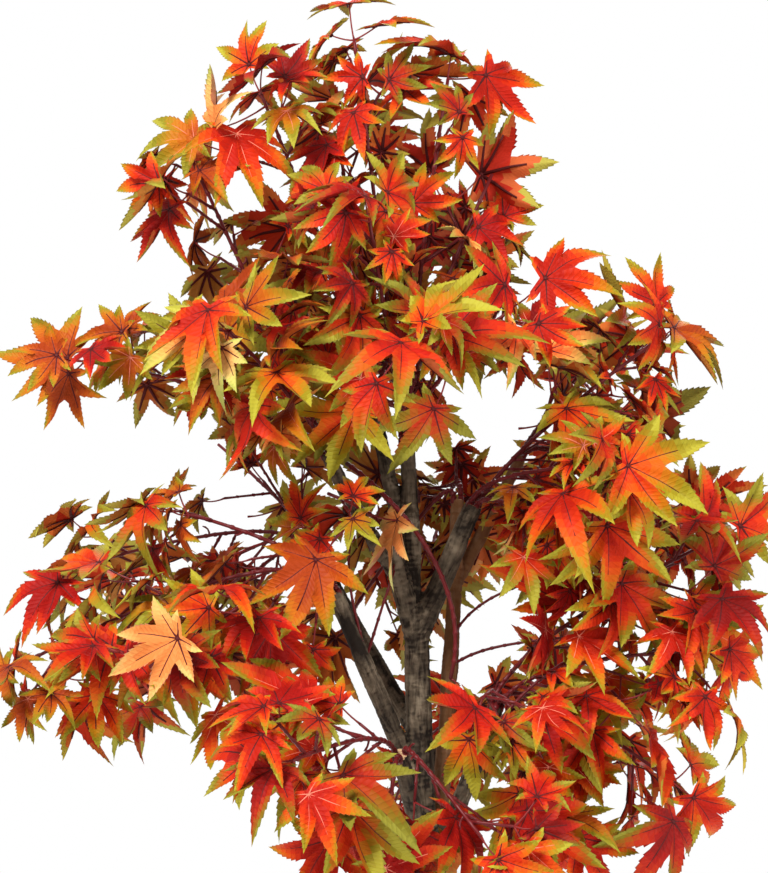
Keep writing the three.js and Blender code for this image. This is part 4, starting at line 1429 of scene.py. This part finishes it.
def draw_rib(sweep, path, up, half_width, height, depth, part):
    """A bar of diamond section, with its ridge above the cloth and its keel below."""
    side = unit(np.cross(up, path[-1] - path[0]))
    widths = between(half_width, np.linspace(0, 1, len(path)))[:, None]
    middle = path + up * (height - depth) / 2
    corners = [middle - side * widths, path - up * depth, middle + side * widths, path + up * height]
    sweep.add(np.stack(corners, 1).reshape(-1, 3), tube_faces(len(path), len(corners)), part)


def draw_ribs(sweep, leaf, rng):
    blade = leaf["blade"]
    up = blade["up"]
    hidden = rng.random() < HIDDEN_RIBS
    for rib in ribs:
        path = leaf["points"][rib]
        draw_rib(sweep, path, up, RIB_HALF_WIDTH, -HIDDEN_UNDER if hidden else RIB_HEIGHT, RIB_DEPTH, "rib")
        if hidden:
            draw_rib(sweep, path, up, VEIN_HALF_WIDTH, VEIN_HEIGHT, VEIN_DEPTH, "vein")
    turns = np.arange(HUB_SIDES) * 2 * math.pi / HUB_SIDES
    round_it = np.outer(np.cos(turns), blade["rib"]) + np.outer(np.sin(turns), blade["across"])
    centre = blade["joint"] - (HIDDEN_HUB if hidden else 0) * up
    rings = [centre + HUB_RADIUS * share * round_it + rise * up for share, rise in HUB_RINGS[::-1]]
    sweep.add(np.concatenate(rings), tube_faces(len(rings), HUB_SIDES), "rib")


# %% The plastic parts of each spray
FOOT_PLACES = 81


def dress_stems(spray):
    rng = np.random.default_rng([spray["seed"], len(spray["leaves"])])
    sweep = Sweep()
    draw_stem(sweep, spray, rng)
    for owner, radii, *path in LOOSE_STEMS:
        if owner == spray["name"]:
            draw_loose_stem(sweep, path, radii, rng)
    drawn = set()
    for leaf in spray["leaves"]:
        place = tuple(leaf["node"])
        if leaf["end"] and place not in drawn:
            drawn.add(place)
            foot = nearest_on(spray["curve"], leaf["root"], FOOT_PLACES)
            if np.linalg.norm(leaf["node"] - foot) > SHORTEST_SPRIG:
                draw_sprig(sweep, foot, leaf["node"], rng)
        draw_stalk(sweep, leaf["node"], leaf["blade"], rng)
        draw_ribs(sweep, leaf, rng)
    piece = sweep.piece("stems_" + spray["name"])
    dress(piece, "stem_plastic", "foliage_" + spray["name"])
    return len(sweep.counts)


faces = sum(dress_stems(spray) for spray in SPRAYS)
print("stems, stalks and ribs have", faces, "faces")

# %% [markdown]
# ## Trunk and boughs
# The wood is natural. The frame has each limb as a plain tapering bar. Here all bars are drawn again
# as tubes that run into each other, and a voxel remesh melts them into one skin. Each point of it
# looks up its nearest limb, so the bark can run along that limb: furrows and ridges lengthwise,
# cracks round it.

# %% The skin of the wood
WOOD_SIDES = 24
WOOD_RING = 6.0
WOOD_VOXEL = 2.2
WOOD_SMOOTH = (0.5, 3)  # factor, rounds
LENGTHS = [row[4] for row in LIMBS.values()]


def limb_radii(name, count):
    return np.array([limb_radius(name, share) for share in np.linspace(0, 1, count)])


tubes = Sweep()
for name, length in zip(LIMBS, LENGTHS):
    count = round(length / WOOD_RING)
    tubes.tube(curves[name].points(count), limb_radii(name, count), WOOD_SIDES, "stem")
wood = tubes.piece("wood")
remesh = wood.modifiers.new("melt together", "REMESH")
remesh.mode = "VOXEL"
remesh.voxel_size = WOOD_VOXEL * MM
soften = wood.modifiers.new("soften", "SMOOTH")
soften.factor, soften.iterations = WOOD_SMOOTH
skin = bpy.data.meshes.new_from_object(wood.evaluated_get(bpy.context.evaluated_depsgraph_get()))
wood.modifiers.clear()
wood.data = skin
wood.data.name = "wood"
print("the wood's skin has", len(skin.polygons), "faces")

# %% Which limb each point lies on
LIMB_SAMPLES = 80
LIMB_SHIFT = 400  # millimetres along the bark from one limb's pattern to the next one's
CUT_FACING = 0.75  # a cut end's points look along their limb ...
CUT_NEAR = 2.5  # ... and lie this near to its end
GROUND = 1.0


def fetch(rows, field, width=1, kind=float):
    """One field of all points, corners or faces."""
    values = np.empty(len(rows) * width, kind)
    rows.foreach_get(field, values)
    return values.reshape(-1, width) if width > 1 else values


points = fetch(skin.vertices, "co", 3) / MM
normals = fetch(skin.vertices, "normal", 3)
nearest = np.full(len(points), np.inf)
second = np.full(len(points), np.inf)
limb_of = np.zeros(len(points), int)
place = np.zeros((len(points), 3))  # across one way, across the other, along, in millimetres
axes = np.zeros((len(points), 3))
for i, name in enumerate(LIMBS):
    curve = curves[name]
    shares = np.linspace(0, 1, LIMB_SAMPLES)
    path = curve.points(LIMB_SAMPLES)
    depth = np.linalg.norm(points[:, None] - path[None], axis=2) - limb_radii(name, LIMB_SAMPLES)[None]
    closest = depth.argmin(axis=1)
    depth = depth.min(axis=1)
    own = depth < nearest
    second = np.where(own, nearest, np.minimum(second, depth))
    nearest = np.where(own, depth, nearest)
    axis = np.array([curve.along(share) for share in shares])[closest]
    side = square_to(curve.along(0), 0)
    other = np.cross(curve.along(0), side)
    out = points - path[closest]
    along = shares[closest] * LENGTHS[i] + (out * axis).sum(axis=1)
    limb_of[own] = i
    place[own] = np.stack([out @ side, out @ other, along + LIMB_SHIFT * i], 1)[own]
    axes[own] = axis[own]
ends = np.array(LENGTHS)[limb_of] + LIMB_SHIFT * limb_of
cut = ((normals * axes).sum(axis=1) > CUT_FACING) & (place[:, 2] > ends - CUT_NEAR)
cut |= points[:, 2] < GROUND
print("points on cut ends:", int(cut.sum()))

# %% Relief of the bark
FURROW = 0.75
LUMP = 1.1
RING_CRACK = 0.6
FINE_WRINKLE = 0.3
WRINKLE = 1.4  # depth of the wrinkles where limbs meet
CROTCH = 14.0
FURROW_RATES = (0.13, 0.018, 7)  # across the limb and along it, per millimetre, and a shift along it
STRAND_RATES = (0.2, 0.022)
LUMP_RATES = (0.04, 0.02)
CRACK_RATES = (0.04, 0.1)
WRINKLE_RATES = (0.08, 0.4)
FURROW_EDGE = 5  # how steeply a furrow or a crack rises to the bark round it
CRACK_EDGE = 8
BROWN_LIMBS = ("companion_stem", "bough_back_right")


def relief(place, crotch):
    """How far the bark stands out, in millimetres, at a place on its limb."""
    across, other, along = place

    def layer(rate, rate_along, shift=0):
        return noise.noise(Vector((across * rate, other * rate, along * rate_along + shift)))

    furrow = 1 - min(1, abs(layer(*FURROW_RATES)) * FURROW_EDGE)
    crack = 1 - min(1, abs(layer(*CRACK_RATES)) * CRACK_EDGE)
    height = FURROW * (layer(*STRAND_RATES) - furrow) + LUMP * layer(*LUMP_RATES) - RING_CRACK * crack
    return height + (FINE_WRINKLE + WRINKLE * crotch) * layer(*WRINKLE_RATES)


crotch = np.clip(1 - (second - nearest) / CROTCH, 0, 1)
height = np.array([relief(*row) for row in zip(place, crotch)])
points = points + normals * np.where(cut, 0, height)[:, None]
points[:, 2] = np.where(points[:, 2] < GROUND, 0.0, points[:, 2])
skin.vertices.foreach_set("co", (points * MM).ravel())
tone = np.array([float(name in BROWN_LIMBS) for name in LIMBS])[limb_of]
for label, kind, field, values in (
    ("limb_place", "FLOAT_VECTOR", "vector", place * MM),
    ("height", "FLOAT", "value", height),
    ("tone", "FLOAT", "value", tone),
):
    skin.attributes.new(label, kind, "POINT").data.foreach_set(field, np.ascontiguousarray(values).ravel())
print("the relief runs from", round(height.min(), 2), "to", round(height.max(), 2), "mm")

# %% Bark and sawn wood
BARK_SPECULAR = 0.2
BARK_BUMP = 0.0015
GRAIN_STRETCH = (1, 1, 0.22)  # the grain runs along the limb
GRAIN_NOISE = (260.0, 6.0, 0.9)  # scale, detail, distortion
GRAIN_SHARE = 0.5
FOLD_STRETCH = (0.45, 0.45, 1.5)  # the folds run round it
FOLD_NOISE = (150.0, 4.0, 1.2)
FOLD_SHARE = 0.3
FOLD_PATCHES = (0.4, 0.62)
BLOTCH_NOISE = (28.0, 4.0)
# Painted light and shade: the relief's height paints raised bark lighter and furrows darker.
RELIEF_LIGHT_AND_SHADE = (0.2, 0.02)  # how the relief lightens the bark: factor, shift
RIDGE_LIGHT_LEVELS = (0.14, 0.58)
LICHEN_PATCHES = (0.52, 0.72)
LICHEN_LEVELS = (0.34, 0.56)
BROWN_SHARE = 0.65
SAWN_RINGS = {"Scale": 160.0, "Distortion": 2.5, "Detail": 2.0}
SAWN_ROUGHNESS = 0.8


def attribute(tree, name, output):
    return add_node(tree, "ShaderNodeAttribute", [("attribute_name", name)]).outputs[output]


def stretched(tree, place, rates):
    node = add_node(tree, "ShaderNodeVectorMath", [("operation", "MULTIPLY")], _0=place, _1=rates)
    return node.outputs[0]


def ramp(tree, value, low, high):
    settings = {"Value": value, "From_Min": low, "From_Max": high}
    return add_node(tree, "ShaderNodeMapRange", **settings).outputs["Result"]


def mix(tree, share, first, second):
    return add_node(tree, "ShaderNodeMix", [("data_type", "RGBA")], _0=share, _6=first, _7=second).outputs[2]


bark, source, result = new_group(
    "bark",
    [
        # The dark and pale bark colours; between them the relief paints shade in furrows and light on
        # ridges.
        ("Dark Bark And Furrow Shade", "NodeSocketColor", linear("231B14")),
        ("Pale Bark And Ridge Light", "NodeSocketColor", linear("766754")),
        ("Lichen Color", "NodeSocketColor", linear("9A8C76")),
        ("Brown Color", "NodeSocketColor", linear("8A5A34")),
        ("Roughness", "NodeSocketFloat", 0.85), ("Grain", "NodeSocketFloat", 0.8),
    ],
    [("Base Color", "NodeSocketColor"), *FINISH],
)
given = source.outputs
spot = attribute(bark, "limb_place", "Vector")
grain = noise_node(bark, stretched(bark, spot, GRAIN_STRETCH), *GRAIN_NOISE)
folds = noise_node(bark, stretched(bark, spot, FOLD_STRETCH), *FOLD_NOISE)
blotch = noise_node(bark, spot, *BLOTCH_NOISE)
# Painted light and shade: raised bark is painted lighter and furrows darker; grain and folds are its own.
level = math_node(bark, "MULTIPLY_ADD", attribute(bark, "height", "Fac"), *RELIEF_LIGHT_AND_SHADE)
level = math_node(bark, "MULTIPLY_ADD", grain, GRAIN_SHARE, level)
folding = math_node(bark, "MULTIPLY", ramp(bark, blotch, *FOLD_PATCHES), FOLD_SHARE)
level = math_node(bark, "MULTIPLY_ADD", folds, folding, level)
colour = mix(bark, ramp(bark, level, *RIDGE_LIGHT_LEVELS), given["Dark Bark And Furrow Shade"], given["Pale Bark And Ridge Light"])
lichen = math_node(bark, "MULTIPLY", ramp(bark, blotch, *LICHEN_PATCHES), ramp(bark, level, *LICHEN_LEVELS))
colour = mix(bark, lichen, colour, given["Lichen Color"])
browning = math_node(bark, "MULTIPLY", attribute(bark, "tone", "Fac"), BROWN_SHARE)
colour = mix(bark, browning, colour, given["Brown Color"])
rough_bark = bump_node(bark, given["Grain"], BARK_BUMP, level)
give_out(bark, result, Base_Color=colour, Roughness=given["Roughness"], Normal=rough_bark)
bark_material = plain_material("bark", linear("6B6157"), bark, BARK_SPECULAR)

sawn_material = bpy.data.materials.new("sawn wood")
sawn_material.use_nodes = True
tree = sawn_material.node_tree
rings = add_node(
    tree, "ShaderNodeTexWave", [("wave_type", "RINGS"), ("rings_direction", "Z")],
    Vector=stretched(tree, attribute(tree, "limb_place", "Vector"), (1, 1, 0)), **SAWN_RINGS,
)
sawn = mix(tree, rings.outputs["Fac"], linear("A07C55"), linear("C9A77C"))
shader = tree.nodes["Principled BSDF"]
tree.links.new(sawn, shader.inputs["Base Color"])
shader.inputs["Roughness"].default_value = SAWN_ROUGHNESS

skin.materials.clear()
skin.materials.append(bark_material)
skin.materials.append(sawn_material)
face_loops = fetch(skin.loops, "vertex_index", kind=int)
starts = fetch(skin.polygons, "loop_start", kind=int)
sawn_faces = np.minimum.reduceat(cut[face_loops].astype(int), starts)
skin.polygons.foreach_set("material_index", sawn_faces)
skin.polygons.foreach_set("use_smooth", np.ones(len(skin.polygons), bool))
skin.update()
dress(wood, "bark", *LIMBS)
print("sawn faces:", int(sawn_faces.sum()))

# %% [markdown]
# ## Size
# The dressed tree is meant to keep the size of its frame, so its box is measured and printed.

# %% Measure the dressed tree
low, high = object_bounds()
print("dressed size", [round(h - l, 3) for l, h in zip(low, high)])
